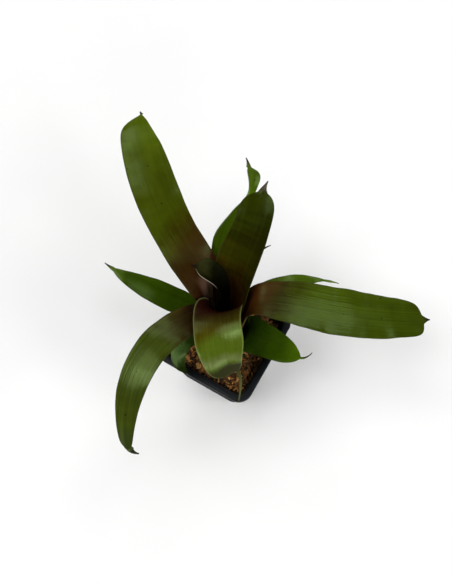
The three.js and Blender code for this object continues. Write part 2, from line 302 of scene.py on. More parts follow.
@dataclass(frozen=True)
class LeafFinish:
    """Living bromeliad leaf: thick, smooth and waxed, with fine parallel veins.

    The wax gives a broad, streaky sheen along the veins. The base is flushed wine red, the blade is olive,
    the back is duller and greyer with absorbing scales, and the very tip has dried to dark brown.

    Attributes:
        flush: Colour of the base. On some leaves it is painted lighter, as painted light on a base that
            lies in shade.
        belly: Colour between base and blade.
        blade: Colour of the blade.
        end: Colour of the blade's end. On the front lip it is near-black, as painted shade where the end
            turns down.
        flush_ends: Share of the length where the base's colour begins to go.
        blade_begins: Share of the length where the blade's colour is reached.
        end_begins: Share of the length where the end's colour begins.
        end_ends: Share of the length where the end's colour is reached.
        end_dullness: Roughness that the end adds.
        foot_dullness: Roughness that the base adds.
        flush_tilt: How much earlier the base's colour ends at one margin than at the midrib, as a share
            of the length. Below 0 it is later there and earlier at the other margin.
        drift: How far broad patches shift the colours along the leaf, as a share of the length.
        margin: Colour of the margins.
        margin_strength: How much of the margin's colour shows.
        margin_begins: Share of the length where the margin's colour begins, or 0 for all of it.
        margin_side: 1 or -1 for a coloured margin on one side, or 0 for both.
        margin_dullness: Roughness that the margins add.
        tip: Colour of the dried tip.
        tip_share: Share of the length that has dried.
        heart_sheen: Colour of a pale, rosy sheen painted by the funnel, if any.
        crease: Share of the length where a highlight is painted along the fold, or 0 for none.
        crease_highlight: Colour of the highlight painted along the fold.
        speck: Colour of the dead spots.
        back: Colour that the back takes on by half.
        bands: Strength of the crosswise bands in the colour.
        streaks: Strength of the veins and ridges in the colour.
        patches: Strength of the broad patches in the colour.
        relief: Height of the veins, in millimetres.
        ribbing: Share of that height, for leaves that are ribbed more or less than usual.
        wax: Roughness of the wax, on average.
        worn: Roughness that the broad patches add to it.
        shine: Specular level of the wax.
    """

    flush: str
    belly: str
    blade: str
    end: str
    flush_ends: float = 0.36
    blade_begins: float = 0.55
    end_begins: float = 0.85
    end_ends: float = 1.0
    end_dullness: float = 0.0
    foot_dullness: float = 0.2
    flush_tilt: float = 0.0
    drift: float = 0.16
    margin: str = "#2c3208"
    margin_strength: float = 0.3
    margin_begins: float = 0.0
    margin_side: float = 0.0
    margin_dullness: float = 0.6
    tip: str = "#17100c"
    tip_share: float = 0.02
    heart_sheen: str = ""
    crease: float = 0.0
    crease_highlight: str = "#646c44"
    speck: str = "#120b05"
    back: str = "#3f4522"
    bands: float = 0.08
    streaks: float = 0.12
    patches: float = 0.22
    relief: float = 0.12
    ribbing: float = 1.0
    wax: float = 0.22
    worn: float = 0.16
    shine: float = 0.26

    def material(self, name: str, seed: float) -> bpy.types.Material:
        """Build the leaf's material.

        Args:
            name: Name of the material.
            seed: Shifts the patterns, so that no two leaves match.

        Returns:
            The finished material.
        """
        material, tree = new_material(name)
        pattern = LeafPattern.lay_out(tree, seed)
        colour = self._blade_colour(pattern)
        back = add(tree, "Mix", {"Factor": 0.5, UNDER: colour, OVER: linear(self.back)}, data_type="RGBA")
        face = add(tree, "Mix", {"Factor": pattern.upper, UNDER: back, OVER: colour}, data_type="RGBA")
        shader = add(
            tree,
            "BsdfPrincipled",
            {
                "Base Color": face,
                "Roughness": self._roughness(pattern),
                "Normal": self._relief(pattern),
                "IOR": 1.5,
                "Specular IOR Level": self.shine,
                # The gloss of these leaves looks green and not white, so what they mirror is tinted.
                "Specular Tint": linear("#daffa6"),
            },
        )
        add(tree, "OutputMaterial", {"Surface": shader})
        return material

    def _roughness(self, pattern: LeafPattern) -> Node:
        """Wear the wax unevenly: least on the blade, more at the base, on a dull end and at the margins.

        Args:
            pattern: The leaf's coordinates and noises.

        Returns:
            The roughness.
        """
        tree, noises = pattern.tree, pattern.noises
        # The crests of the veins are rubbed a little duller than the wax between them.
        waxed = add(
            tree,
            "MapRange",
            {
                "Value": noises[LeafNoise.VEINS],
                "From Min": 0.3,
                "From Max": 0.7,
                "To Min": self.wax - 0.11,
                "To Max": self.wax - 0.03,
            },
        )
        rough = add(
            tree, "Math", {0: noises[LeafNoise.PATCHES], 1: self.worn, 2: waxed}, operation="MULTIPLY_ADD"
        )
        # Absorbing scales stand closest on the base, and the margin is bare of wax.
        dulled = [
            (pattern.reach, (self.flush_ends - 0.06, self.foot_dullness), (self.blade_begins, 0.0)),
            (pattern.reach, (self.end_begins, 0.0), (self.end_ends, self.end_dullness)),
            (pattern.from_middle, (0.94, 0.0), (0.985, self.margin_dullness)),
        ]
        for place, *stops in dulled:
            more = add(tree, "ValToRGB", {"Fac": place}, stops=[(at, grey(level)) for at, level in stops])
            rough = add(tree, "Math", {0: rough, 1: more}, operation="ADD")
        return rough

    def _relief(self, pattern: LeafPattern) -> Node:
        """Raise the veins, the finer furrows between them and the broader ridges.

        Args:
            pattern: The leaf's coordinates and noises.

        Returns:
            The bent normal.
        """
        tree, noises = pattern.tree, pattern.noises
        height = noises[LeafNoise.VEINS]
        for noise, share in ((LeafNoise.FURROWS, 0.4), (LeafNoise.RIDGES, 2.6)):
            height = add(tree, "Math", {0: noises[noise], 1: share, 2: height}, operation="MULTIPLY_ADD")
        distance = self.relief * self.ribbing * MM
        return add(tree, "Bump", {"Strength": 0.45, "Distance": distance, "Height": height})

    def _blade_colour(self, pattern: LeafPattern) -> Node:
        """Colour the upper face, from the red base over the olive blade to the dry tip.

        Args:
            pattern: The leaf's coordinates and noises.

        Returns:
            The colour.
        """
        tree, noises = pattern.tree, pattern.noises
        # The flush runs out along the veins, so its edge is feathered.
        feather, drift = (
            add(tree, "MapRange", {"Value": noises[noise], "To Min": -swing, "To Max": swing})
            for noise, swing in ((LeafNoise.VEINS, 0.02), (LeafNoise.PATCHES, self.drift))
        )
        drifted = add(tree, "Math", {0: pattern.reach, 1: drift}, operation="ADD")
        shifted = add(tree, "Math", {0: drifted, 1: feather}, operation="ADD")
        shifted = add(
            tree, "Math", {0: pattern.across, 1: self.flush_tilt, 2: shifted}, operation="MULTIPLY_ADD"
        )
        colour = add(
            tree,
            "ValToRGB",
            {"Fac": shifted},
            stops=[
                (self.flush_ends - 0.1, linear(self.flush)),
                ((self.flush_ends + self.blade_begins) / 2, linear(self.belly)),
                (self.blade_begins + 0.03, linear(self.blade)),
            ],
        )
        for mask, tint in self._places(pattern, drifted):
            colour = add(tree, "Mix", {"Factor": mask, UNDER: colour, OVER: linear(tint)}, data_type="RGBA")
        colour = add(tree, "VectorMath", {0: colour, "Scale": self._level(pattern)}, operation="SCALE")

        ragged = add(tree, "Math", {0: feather, 1: 0.25, 2: pattern.reach}, operation="MULTIPLY_ADD")
        stops = [(1 - 2 * self.tip_share, grey(0.0)), (1 - self.tip_share, grey(1.0))]
        dry = add(tree, "ValToRGB", {"Fac": ragged}, stops=stops)
        marks = ((self._rim(pattern), self.margin), (self._specks(pattern), self.speck), (dry, self.tip))
        for mask, tint in marks:
            colour = add(tree, "Mix", {"Factor": mask, UNDER: colour, OVER: linear(tint)}, data_type="RGBA")
        return colour

    def _places(self, pattern: LeafPattern, drifted: Node) -> list[tuple[Node, str]]:
        """Mask the leaf's end and, where painted, the highlight on its fold and the sheen by the funnel.

        Args:
            pattern: The leaf's coordinates and noises.
            drifted: Share of the leaf's length, shifted by the broad patches.

        Returns:
            Mask and colour of each place.
        """
        tree = pattern.tree
        stops = [(self.end_begins, grey(0.0)), (self.end_ends, grey(1.0))]
        places = [(add(tree, "ValToRGB", {"Fac": drifted}, stops=stops), self.end)]
        if self.crease:
            # A pale band is painted where the end of the leaf folds down: a painted highlight along the
            # fold.
            stops = [
                (self.crease - 0.035, grey(0.0)),
                (self.crease - 0.008, grey(0.5)),
                (self.crease + 0.002, grey(0.5)),
                (self.crease + 0.016, grey(0.0)),
            ]
            places.append((add(tree, "ValToRGB", {"Fac": drifted}, stops=stops), self.crease_highlight))
        if self.heart_sheen:
            # A pale, rosy sheen is painted on the middle of the leaf where it rises out of the funnel:
            # painted light.
            low, middle = (
                add(tree, "ValToRGB", {"Fac": place}, stops=[(full, grey(1.0)), (gone, grey(0.0))])
                for place, full, gone in ((pattern.reach, 0.28, 0.34), (pattern.from_middle, 0.1, 0.45))
            )
            places.append((add(tree, "Math", {0: low, 1: middle}, operation="MULTIPLY"), self.heart_sheen))
        return places

    def _level(self, pattern: LeafPattern) -> Node:
        """Vary the lightness by paler veins and ridges, broad patches and faint crosswise bands.

        Args:
            pattern: The leaf's coordinates and noises.

        Returns:
            A factor around 1.
        """
        tree, noises = pattern.tree, pattern.noises
        veins, ridges = noises[LeafNoise.VEINS], noises[LeafNoise.RIDGES]
        streaks = add(tree, "Math", {0: veins, 1: ridges}, operation="ADD")
        factors = []
        for noise, low, high, swing in (
            (streaks, 0.75, 1.25, self.streaks),
            (noises[LeafNoise.PATCHES], 0.25, 0.75, self.patches),
            (noises[LeafNoise.BANDS], 0.3, 0.7, self.bands),
        ):
            spans = {"From Min": low, "From Max": high, "To Min": 1 - swing, "To Max": 1 + swing}
            factors.append(add(tree, "MapRange", {"Value": noise, **spans}))
        streaked, patchy, banded = factors
        level = add(tree, "Math", {0: streaked, 1: patchy}, operation="MULTIPLY")
        return add(tree, "Math", {0: level, 1: banded}, operation="MULTIPLY")

    def _rim(self, pattern: LeafPattern) -> Node:
        """Mask the margins, on one side only or from some way along where the leaf has it so.

        Args:
            pattern: The leaf's coordinates and noises.

        Returns:
            The mask.
        """
        tree = pattern.tree
        edge = pattern.from_middle
        if self.margin_side:
            edge = add(tree, "Math", {0: pattern.across, 1: self.margin_side}, operation="MULTIPLY")
        stops = [(0.93, grey(0.0)), (0.99, grey(self.margin_strength))]
        rim = add(tree, "ValToRGB", {"Fac": edge}, stops=stops)
        if self.margin_begins:
            stops = [(self.margin_begins - 0.08, grey(0.0)), (self.margin_begins, grey(1.0))]
            kept = add(tree, "ValToRGB", {"Fac": pattern.reach}, stops=stops)
            rim = add(tree, "Math", {0: rim, 1: kept}, operation="MULTIPLY")
        return rim

    def _specks(self, pattern: LeafPattern) -> Node:
        """Scatter small dead spots about 1 mm wide, in one of every ten cells of 12.5 mm.

        Args:
            pattern: The leaf's coordinates and noises.

        Returns:
            A mask that is white on the spots.
        """
        tree = pattern.tree
        sizes = {"Vector": pattern.place, "Scale": 1 / 12.5, "Randomness": 1.0}
        cells = add(tree, "TexVoronoi", sizes, voronoi_dimensions="2D")
        stops = [(0.025, grey(0.9)), (0.05, grey(0.0))]
        spot = add(tree, "ValToRGB", {"Fac": cells.outputs["Distance"]}, stops=stops)
        chance = add(tree, "SeparateColor", {"Color": cells.outputs["Color"]}).outputs["Red"]
        chosen = add(tree, "Math", {0: chance, 1: 0.9}, operation="GREATER_THAN")
        return add(tree, "Math", {0: spot, 1: chosen}, operation="MULTIPLY")


@dataclass(frozen=True)
class MouldedPolypropylene:
    """Black polypropylene, injection moulded: an even, waxy satin with a fine grain and dusty scuffs.

    Attributes:
        body: Colour of the plastic.
        scuff: Colour of its scratches.
        dust: Colour of the dust on it.
        roughness: Roughness of the smooth rim.
        wall_dullness: Roughness that the grained outer walls add.
        wall_top: Height above which the plastic is smooth, in millimetres.
        grain: Size of the mould's grain, in millimetres.
        dust_patch: Size of the dusty patches, in millimetres.
        scratch: Length, width and height of the drawn scratches, in millimetres.
    """

    body: str = "#0a0e12"
    scuff: str = "#1a1f23"
    dust: str = "#1d1912"
    roughness: float = 0.4
    wall_dullness: float = 0.36
    wall_top: float = 60.8
    grain: float = 0.35
    dust_patch: float = 18.0
    scratch: tuple[float, float, float] = (5.556, 0.6667, 2.381)

    def material(self, name: str) -> bpy.types.Material:
        """Build the plastic's material.

        Args:
            name: Name of the material.

        Returns:
            The finished material.
        """
        material, tree = new_material(name)
        place = add(tree, "TexCoord").outputs["Object"]
        # A spark-eroded mould leaves a grain of about a third of a millimetre.
        grain = add(tree, "TexNoise", {"Vector": place, "Scale": 1 / (self.grain * MM), "Detail": 2.0})
        flow = add(tree, "TexNoise", {"Vector": place, "Scale": 1 / (self.dust_patch * MM), "Detail": 4.0})
        # Real scratches are finer than a pixel: here they are 0.7 mm wide.
        cycles = tuple(1 / (size * MM) for size in self.scratch)
        turned = add(tree, "Mapping", {"Vector": place, "Rotation": (0.3, 0.2, 0.7), "Scale": cycles})
        scratched = add(tree, "TexNoise", {"Vector": turned, "Scale": 1.0, "Detail": 3.0})
        rubbed = add(tree, "ValToRGB", {"Fac": scratched}, stops=[(0.62, grey(0.0)), (0.74, grey(0.5))])
        dusted = add(tree, "ValToRGB", {"Fac": flow}, stops=[(0.52, grey(0.0)), (0.72, grey(0.28))])
        colour = linear(self.body)
        for mask, tint in ((rubbed, self.scuff), (dusted, self.dust)):
            colour = add(tree, "Mix", {"Factor": mask, UNDER: colour, OVER: linear(tint)}, data_type="RGBA")
        rough = add(
            tree,
            "MapRange",
            {
                "Value": flow,
                "From Min": 0.3,
                "From Max": 0.7,
                "To Min": self.roughness - 0.06,
                "To Max": self.roughness + 0.14,
            },
        )
        # The outer walls come grained from the mould and are duller than the top of the rim.
        wall = add(
            tree,
            "MapRange",
            {
                "Value": add(tree, "SeparateXYZ", {"Vector": place}).outputs["Z"],
                "From Min": (self.wall_top - 1.4) * MM,
                "From Max": self.wall_top * MM,
                "To Min": self.wall_dullness,
                "To Max": 0.0,
            },
        )
        shader = add(
            tree,
            "BsdfPrincipled",
            {
                "Base Color": colour,
                "Roughness": add(tree, "Math", {0: rough, 1: wall}, operation="ADD"),
                "Normal": add(tree, "Bump", {"Strength": 0.25, "Distance": 0.04 * MM, "Height": grain}),
                "IOR": 1.49,
                "Specular IOR Level": 0.16,
            },
        )
        add(tree, "OutputMaterial", {"Surface": shader})
        return material


@dataclass(frozen=True)
class SplitBark:
    """Damp pine bark and coir, chipped: dull and fibrous, from dark umber to orange where freshly split.

    Attributes:
        dark: Colour of the wettest chips.
        damp: Colour of damp chips.
        fresh: Colour of freshly split chips.
        pale: Colour of the driest fibres.
        fibre: Length and thickness of the drawn fibres, in millimetres.
    """

    dark: str = "#24170a"
    damp: str = "#553818"
    fresh: str = "#94602c"
    pale: str = "#cfa468"
    fibre: tuple[float, float] = (2.857, 0.5)

    def material(self, name: str) -> bpy.types.Material:
        """Build the bark's material.

        Args:
            name: Name of the material.

        Returns:
            The finished material.
        """
        material, tree = new_material(name)
        tone = add(tree, "Attribute", attribute_name="chip_tone").outputs["Fac"]
        place = add(tree, "Attribute", attribute_name="chip_mm").outputs["Vector"]
        # Bark fibres are about 0.2 mm thick and run along each chip: drawn at 0.5 mm, so that they show.
        long, thick = self.fibre
        stretched = add(tree, "Mapping", {"Vector": place, "Scale": (1 / long, 1 / thick, 1 / thick)})
        fibre = add(tree, "TexNoise", {"Vector": stretched, "Scale": 1.0, "Detail": 3.0, "Roughness": 0.6})
        swing = add(tree, "MapRange", {"Value": fibre, "To Min": -0.3, "To Max": 0.3})
        colour = add(
            tree,
            "ValToRGB",
            {"Fac": add(tree, "Math", {0: tone, 1: swing}, operation="ADD")},
            stops=[
                (0.08, linear(self.dark)),
                (0.4, linear(self.damp)),
                (0.72, linear(self.fresh)),
                (1.0, linear(self.pale)),
            ],
        )
        shader = add(
            tree,
            "BsdfPrincipled",
            {
                "Base Color": colour,
                "Roughness": 0.82,
                "Normal": add(tree, "Bump", {"Strength": 0.8, "Distance": 0.25 * MM, "Height": fibre}),
                "IOR": 1.4,
                "Specular IOR Level": 0.3,
            },
        )
        add(tree, "OutputMaterial", {"Surface": shader})
        return material


@dataclass(frozen=True)
class DriedSheath:
    """Crown tissue under old leaf bases: matt, papery and brown, ringed by the scars of shed leaves.

    Attributes:
        dark: Colour between the fibres.
        light: Colour of the fibres.
        fibre: Thickness and length of the drawn fibres, in millimetres.
    """

    dark: str = "#1e150b"
    light: str = "#544022"
    fibre: tuple[float, float] = (1.111, 3.846)

    def material(self, name: str) -> bpy.types.Material:
        """Build the crown's material.

        Args:
            name: Name of the material.

        Returns:
            The finished material.
        """
        material, tree = new_material(name)
        place = add(tree, "TexCoord").outputs["Object"]
        # Real sheath fibres are thinner than a pixel: drawn at 1 mm, so that they show.
        thick, long = (size * MM for size in self.fibre)
        stretched = add(tree, "Mapping", {"Vector": place, "Scale": (1 / thick, 1 / thick, 1 / long)})
        fibre = add(tree, "TexNoise", {"Vector": stretched, "Scale": 1.0, "Detail": 4.0})
        colour = add(
            tree, "ValToRGB", {"Fac": fibre}, stops=[(0.3, linear(self.dark)), (0.75, linear(self.light))]
        )
        shader = add(
            tree,
            "BsdfPrincipled",
            {
                "Base Color": colour,
                "Roughness": 0.85,
                "Normal": add(tree, "Bump", {"Strength": 0.6, "Distance": 0.2 * MM, "Height": fibre}),
                "IOR": 1.4,
                "Specular IOR Level": 0.25,
            },
        )
        add(tree, "OutputMaterial", {"Surface": shader})
        return material


@dataclass(frozen=True)
class PaintedBoard:
    """White emulsion on board, rolled: matt, with a barely clouded white.

    Attributes:
        dull: Colour where the paint is thin.
        clean: Colour where it is full.
        clouds: Size of the clouds, in millimetres.
    """

    dull: str = "#f3f3f3"
    clean: str = "#f7f7f6"
    clouds: float = 166.67

    def material(self, name: str) -> bpy.types.Material:
        """Build the board's material.

        Args:
            name: Name of the material.

        Returns:
            The finished material.
        """
        material, tree = new_material(name)
        place = add(tree, "TexCoord").outputs["Object"]
        cloud = add(tree, "TexNoise", {"Vector": place, "Scale": 1 / (self.clouds * MM), "Detail": 2.0})
        colour = add(
            tree, "ValToRGB", {"Fac": cloud}, stops=[(0.3, linear(self.dull)), (0.7, linear(self.clean))]
        )
        shader = add(
            tree, "BsdfPrincipled", {"Base Color": colour, "Roughness": 0.9, "Specular IOR Level": 0.1}
        )
        add(tree, "OutputMaterial", {"Surface": shader})
        return material


# The plant


@dataclass(frozen=True)
class PlantAxis:
    """The leaning axis that the leaves wrap, and the cone-shaped crown that carries them.

    Attributes:
        soil_top: Height of the growing medium, where the lean begins.
        centre: Where the axis meets the medium.
        lean_per_mm: Lean along x and y for each millimetre of height.
        inner_radius: Radius at which the innermost leaf stands.
        layer_pitch: Step outward from one layer of leaves to the next.
        layers: Number of layers.
        crown_foot: Height of the cone's rim.
        crown_height: Height of the cone above its rim.
    """

    soil_top: float = 54.0
    centre: tuple[float, float] = (0.0, 1.5)
    lean_per_mm: tuple[float, float] = (-0.069, 0.12)
    inner_radius: float = 3.4
    layer_pitch: float = 1.2
    layers: int = 9
    crown_foot: float = 55.0
    crown_height: float = 6.0

    def layer_radius(self, layer: int) -> float:
        """Return the radius at which a layer of leaves stands on the crown."""
        return self.inner_radius + layer * self.layer_pitch

    def cone_height(self, radius: float) -> float:
        """Return the height of the crown's cone at a radius."""
        share = (radius - self.inner_radius) / (self.layers * self.layer_pitch)
        return self.crown_foot + self.crown_height * (1 - share)

    def lean(self, points: np.ndarray) -> np.ndarray:
        """Lean points over with the plant.

        Args:
            points: Places about an upright axis, in millimetres.

        Returns:
            The places on the leaning plant.
        """
        rise = np.maximum(points[..., 2] - self.soil_top, 0.0)
        leaning = points.copy()
        leaning[..., 0] += self.centre[0] + self.lean_per_mm[0] * rise
        leaning[..., 1] += self.centre[1] + self.lean_per_mm[1] * rise
        return leaning


@dataclass(frozen=True)
class Leaf:
    """One strap leaf: a sheath that wraps the funnel, then a blade that bends out of it.

    Lengths are in millimetres and angles in degrees, and directions go counter-clockwise from +X as seen
    from above. What is given at even stations runs from the funnel to the tip, and the width from the
    funnel to the thin awl at the end.

    Attributes:
        node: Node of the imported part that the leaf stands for.
        finish: Finish of the leaf.
        layer: Layer of the crown, counted outward from 0.
        length: Length from foot to tip.
        wrap: Length of the sheath.
        heading: Direction at even stations.
        climb: Slope above level at even stations.
        width: Width at even stations.
        channel: Angle through which each half of the blade bends up.
        blunt: How late and suddenly the end rounds off.
        awl: Length of the thin end.
        flare: Outward slope of the sheath.
        turn: Length over which the leaf leaves the funnel.
        roll: Turn about the leaf's own middle at even stations.
        fold: Angle that the channel gains towards the end.
        lift: Angle that the awl turns up.
        veer: Angle that the awl turns aside.
        neck_half: Half the width where the awl begins.
        tip_half: Half the width of the tip.
        tip_side: Sideways shift of the end, as a share of half the width.
        ripple: Height of the blade's waves.
        waves: Length and share of each wave.
        sheath_wrap: Angle that each half of the sheath may reach round the funnel.
        sheath_share: Most that half the sheath may measure, as a share of the first width.
        clearance: Height of the leaf's foot over the crown.
        middle_thickness: Thickness at the midrib.
        margin_thickness: Thickness at the margins.
        tip_thinning: Share of its thickness that the awl loses towards its tip.
        row_spacing: Spacing of the rows before they are crowded.
        crowding: How much closer together the rows stand towards the end.
        awl_rows: Rows along the awl.
        columns: Faces across the leaf.
        spine_steps: Steps in which the middle line is followed.
    """

    node: str
    finish: LeafFinish
    layer: int
    length: float
    wrap: float
    heading: tuple[float, ...]
    climb: tuple[float, ...]
    width: tuple[float, ...]
    channel: float
    blunt: float
    awl: float
    flare: float = 10.0
    turn: float = 16.0
    roll: tuple[float, ...] = (0.0, 0.0)
    fold: float = 0.0
    lift: float = 0.0
    veer: float = 0.0
    neck_half: float = 1.5
    tip_half: float = 0.4
    tip_side: float = 0.0
    ripple: float = 0.3
    waves: tuple[tuple[float, float], ...] = ((31.0, 1.0), (17.0, 0.6), (9.0, 0.25))
    sheath_wrap: float = 75.0
    sheath_share: float = 0.54
    clearance: float = 0.45
    middle_thickness: float = 0.8
    margin_thickness: float = 0.22
    tip_thinning: float = 0.55
    row_spacing: float = 1.5
    crowding: float = 1.3
    awl_rows: int = 8
    columns: int = 24
    spine_steps: int = 480

    def _free(self, s: np.ndarray) -> np.ndarray:
        """Return the share of the free blade passed at a distance along the leaf."""
        return np.clip((s - self.wrap) / (self.length - self.wrap), 0.0, 1.0)

    def _before_awl(self, s: np.ndarray) -> np.ndarray:
        """Return the share of the way from funnel to awl passed at a distance along the leaf."""
        return np.clip((s - self.wrap) / (self.length - self.awl - self.wrap), 0.0, 1.0)

    def _in_awl(self, s: np.ndarray) -> np.ndarray:
        """Return the share of the awl passed at a distance along the leaf."""
        return np.clip((s - (self.length - self.awl)) / self.awl, 0.0, 1.0)

    def _leave(self, s: np.ndarray) -> np.ndarray:
        """Return how far the leaf has left the funnel, from 0 to 1."""
        return ease((s - self.wrap) / self.turn)

    def _climb(self, s: np.ndarray) -> np.ndarray:
        """Give the slope of the leaf's middle.

        Args:
            s: Distances along the leaf.

        Returns:
            Angles above level in radians.
        """
        leave = self._leave(s)
        slope = (90 - self.flare) * (1 - leave) + along(self.climb, self._free(s)) * leave
        return np.radians(slope + self.lift * self._in_awl(s))

    def _heading(self, s: np.ndarray) -> np.ndarray:
        """Return the direction of the leaf's middle in radians, as seen from above."""
        return np.radians(along(self.heading, self._free(s)) + self.veer * np.sqrt(self._in_awl(s)))

    def _spine(self, s: np.ndarray, axis: PlantAxis) -> np.ndarray:
        """Follow the leaf's middle line from the crown to the tip.

        Args:
            s: Distances along the leaf.
            axis: The plant's axis.

        Returns:
            One place for each distance, about an upright axis.
        """
        fine = np.linspace(0.0, self.length, self.spine_steps + 1)
        middle = (fine[1:] + fine[:-1]) / 2
        climb, heading = self._climb(middle), self._heading(middle)
        step = self.length / self.spine_steps
        moves = np.stack(
            [np.cos(climb) * np.cos(heading), np.cos(climb) * np.sin(heading), np.sin(climb)], -1
        )
        path = np.vstack([np.zeros(3), np.cumsum(moves * step, 0)])
        radius = axis.layer_radius(self.layer)
        start = self._heading(np.zeros(1))[0]
        lifted = axis.cone_height(radius) + self.clearance
        foot = np.array([radius * math.cos(start), radius * math.sin(start), lifted])
        return np.stack([np.interp(s, fine, path[:, k]) for k in range(3)], -1) + foot

    def _stations(self) -> np.ndarray:
        """Space out the rows, closest together towards the end.

        Returns:
            Distances along the leaf.
        """
        neck = self.length - self.awl
        rows = math.ceil(neck / self.row_spacing)
        blade = neck * (1 - (1 - np.linspace(0.0, 1.0, rows + 1)) ** self.crowding)
        return np.concatenate([blade, np.linspace(neck, self.length, self.awl_rows + 1)[1:]])

    def _half_width(self, s: np.ndarray, out: np.ndarray) -> tuple[np.ndarray, np.ndarray, np.ndarray]:
        """Return half the leaf's width and where its middle lies.

        Args:
            s: Distances along the leaf.
            out: Distance of each row from the plant's axis.

        Returns:
            Half widths with sheath and blade blended where the leaf leaves the funnel, the sideways shift
            of each row, and the half widths before the end is rounded off.
        """
        share = self._before_awl(s)
        full = along(self.width, share) / 2
        # The powers are fitted to the photograph: the shoulder is round and the awl thins quickly.
        left = (1 - share**self.blunt) ** 0.7
        thin = self.tip_half + (self.neck_half - self.tip_half) * (1 - self._in_awl(s)) ** 1.5
        blade = np.where(s > self.length - self.awl, thin, np.maximum(full * left, self.neck_half))
        sheath = np.minimum(math.radians(self.sheath_wrap) * out, self.width[0] * self.sheath_share)
        leave = self._leave(s)
        shift = self.tip_side * full * (1 - left) * leave
        return sheath * (1 - leave) + blade * leave, shift, full

    def _surface(
        self, s: np.ndarray, axis: PlantAxis, rng: np.random.Generator
    ) -> tuple[np.ndarray, np.ndarray]:
        """Lay out the leaf's middle surface.

        Args:
            s: Distances along the leaf.
            axis: The plant's axis.
            rng: Seeded random source for the margins' ripple.

        Returns:
            Places as rows by columns by 3, and half the width of each row.
        """
        spine = self._spine(s, axis)
        out = np.hypot(spine[:, 0], spine[:, 1])
        leave, heading = self._leave(s), self._heading(s)
        tilt = (1 - leave) * math.pi / 2 + leave * self._climb(s)
        roll = np.radians(along(self.roll, self._free(s))) * leave
        side = np.stack([-np.sin(heading), np.cos(heading), 0 * heading], -1)
        up = np.stack([-np.sin(tilt) * np.cos(heading), -np.sin(tilt) * np.sin(heading), np.cos(tilt)], -1)
        turned = np.cos(roll)[:, None], np.sin(roll)[:, None]
        level = turned[0] * side + turned[1] * up
        inward = turned[0] * up - turned[1] * side

        # The sheath bends round the axis and the blade into its channel. Both have a limit, so that a
        # wide sheath doesn't straighten out and a narrow end doesn't curl up.
        half, shift, full = self._half_width(s, out)
        channel = np.radians(self.channel + self.fold * self._before_awl(s) ** 3)
        widest_sheath, narrowest_blade = 60.0, 4.0
        bend = (1 - leave) / np.minimum(out, widest_sheath)
        bend = bend + leave * channel / np.maximum(full, narrowest_blade)

        u = np.linspace(-1.0, 1.0, self.columns + 1)
        angle = bend[:, None] * (shift[:, None] + half[:, None] * u[None, :])
        sideways = np.sin(angle) / bend[:, None]
        rise = (1 - np.cos(angle)) / bend[:, None] + self._ripple(s, u, rng) * leave[:, None]
        points = spine[:, None] + sideways[..., None] * level[:, None] + rise[..., None] * inward[:, None]
        return axis.lean(points), half

    def _ripple(self, s: np.ndarray, u: np.ndarray, rng: np.random.Generator) -> np.ndarray:
        """Return small waves: each margin has its own, and a weaker one slants across the blade.

        Args:
            s: Distances along the leaf.
            u: Places across the leaf, from -1 to 1.
            rng: Seeded random source.

        Returns:
            Height of the waves in millimetres, rows by columns.
        """
        slanting, stretch, slant = 0.3, 1.3, 1.4
        waves = np.zeros((len(s), len(u)))
        for length, share in self.waves:
            for sign in (-1, 1):
                phase = rng.uniform(0, 2 * math.pi)
                reach = np.clip(sign * u, 0, 1) ** 1.8
                waves += share * reach[None, :] * np.sin(2 * math.pi * s / length + phase)[:, None]
            phase = rng.uniform(0, 2 * math.pi)
            turns = 2 * math.pi * s[:, None] / (stretch * length)
            waves += slanting * share * np.sin(turns + phase + slant * u[None, :])
        # The waves grow over the first quarter of the blade and fade over its last 12 mm.
        fade = ease(self._free(s) * 4) * ease((self.length - s) / 12)
        return self.ripple * waves * fade[:, None]

    def build(self, axis: PlantAxis, seed: int) -> bpy.types.Object:
        """Build and dress the leaf.

        Args:
            axis: The plant's axis.
            seed: Seed of the leaf's ripple and patterns.

        Returns:
            The leaf's object.
        """
        rng = np.random.default_rng(seed)
        s = self._stations()
        grid, half = self._surface(s, axis, rng)
        rows, wide = grid.shape[:2]
        normal = np.cross(np.gradient(grid, axis=0), np.gradient(grid, axis=1))
        normal /= np.linalg.norm(normal, axis=-1, keepdims=True)
        u = np.linspace(-1.0, 1.0, wide)
        bulge = 1 - np.abs(u) ** 3
        thick = self.margin_thickness + (self.middle_thickness - self.margin_thickness) * bulge
        thin_end = 1 - self.tip_thinning * self._in_awl(s)
        offset = normal * (thick[None, :] * thin_end[:, None] / 2)[..., None]
        points = np.concatenate([(grid + offset).reshape(-1, 3), (grid - offset).reshape(-1, 3)])

        # The finish reads where each point lies: in millimetres, and as shares with 1 for the upper face.
        place = np.zeros((rows, wide, 3))
        place[..., 0] = u[None, :] * half[:, None]
        place[..., 1] = s[:, None]
        share = np.zeros((2, rows, wide, 3))
        share[..., 0] = u
        share[..., 1] = (s / self.length)[None, :, None]
        share[0, ..., 2] = 1.0
        attributes = {
            "blade_mm": np.concatenate([place.reshape(-1, 3)] * 2),
            "blade_share": share.reshape(-1, 3),
        }
        name = "_".join(self.node.split("_")[2:]) + "_leaf"
        leaf = build_object(name, points, self._faces(rows, wide), crease=60.0, attributes=attributes)
        pattern_seed = seed * 13.7
        settle(leaf, self.finish.material(name + "_tissue", pattern_seed), self.node)
        return leaf

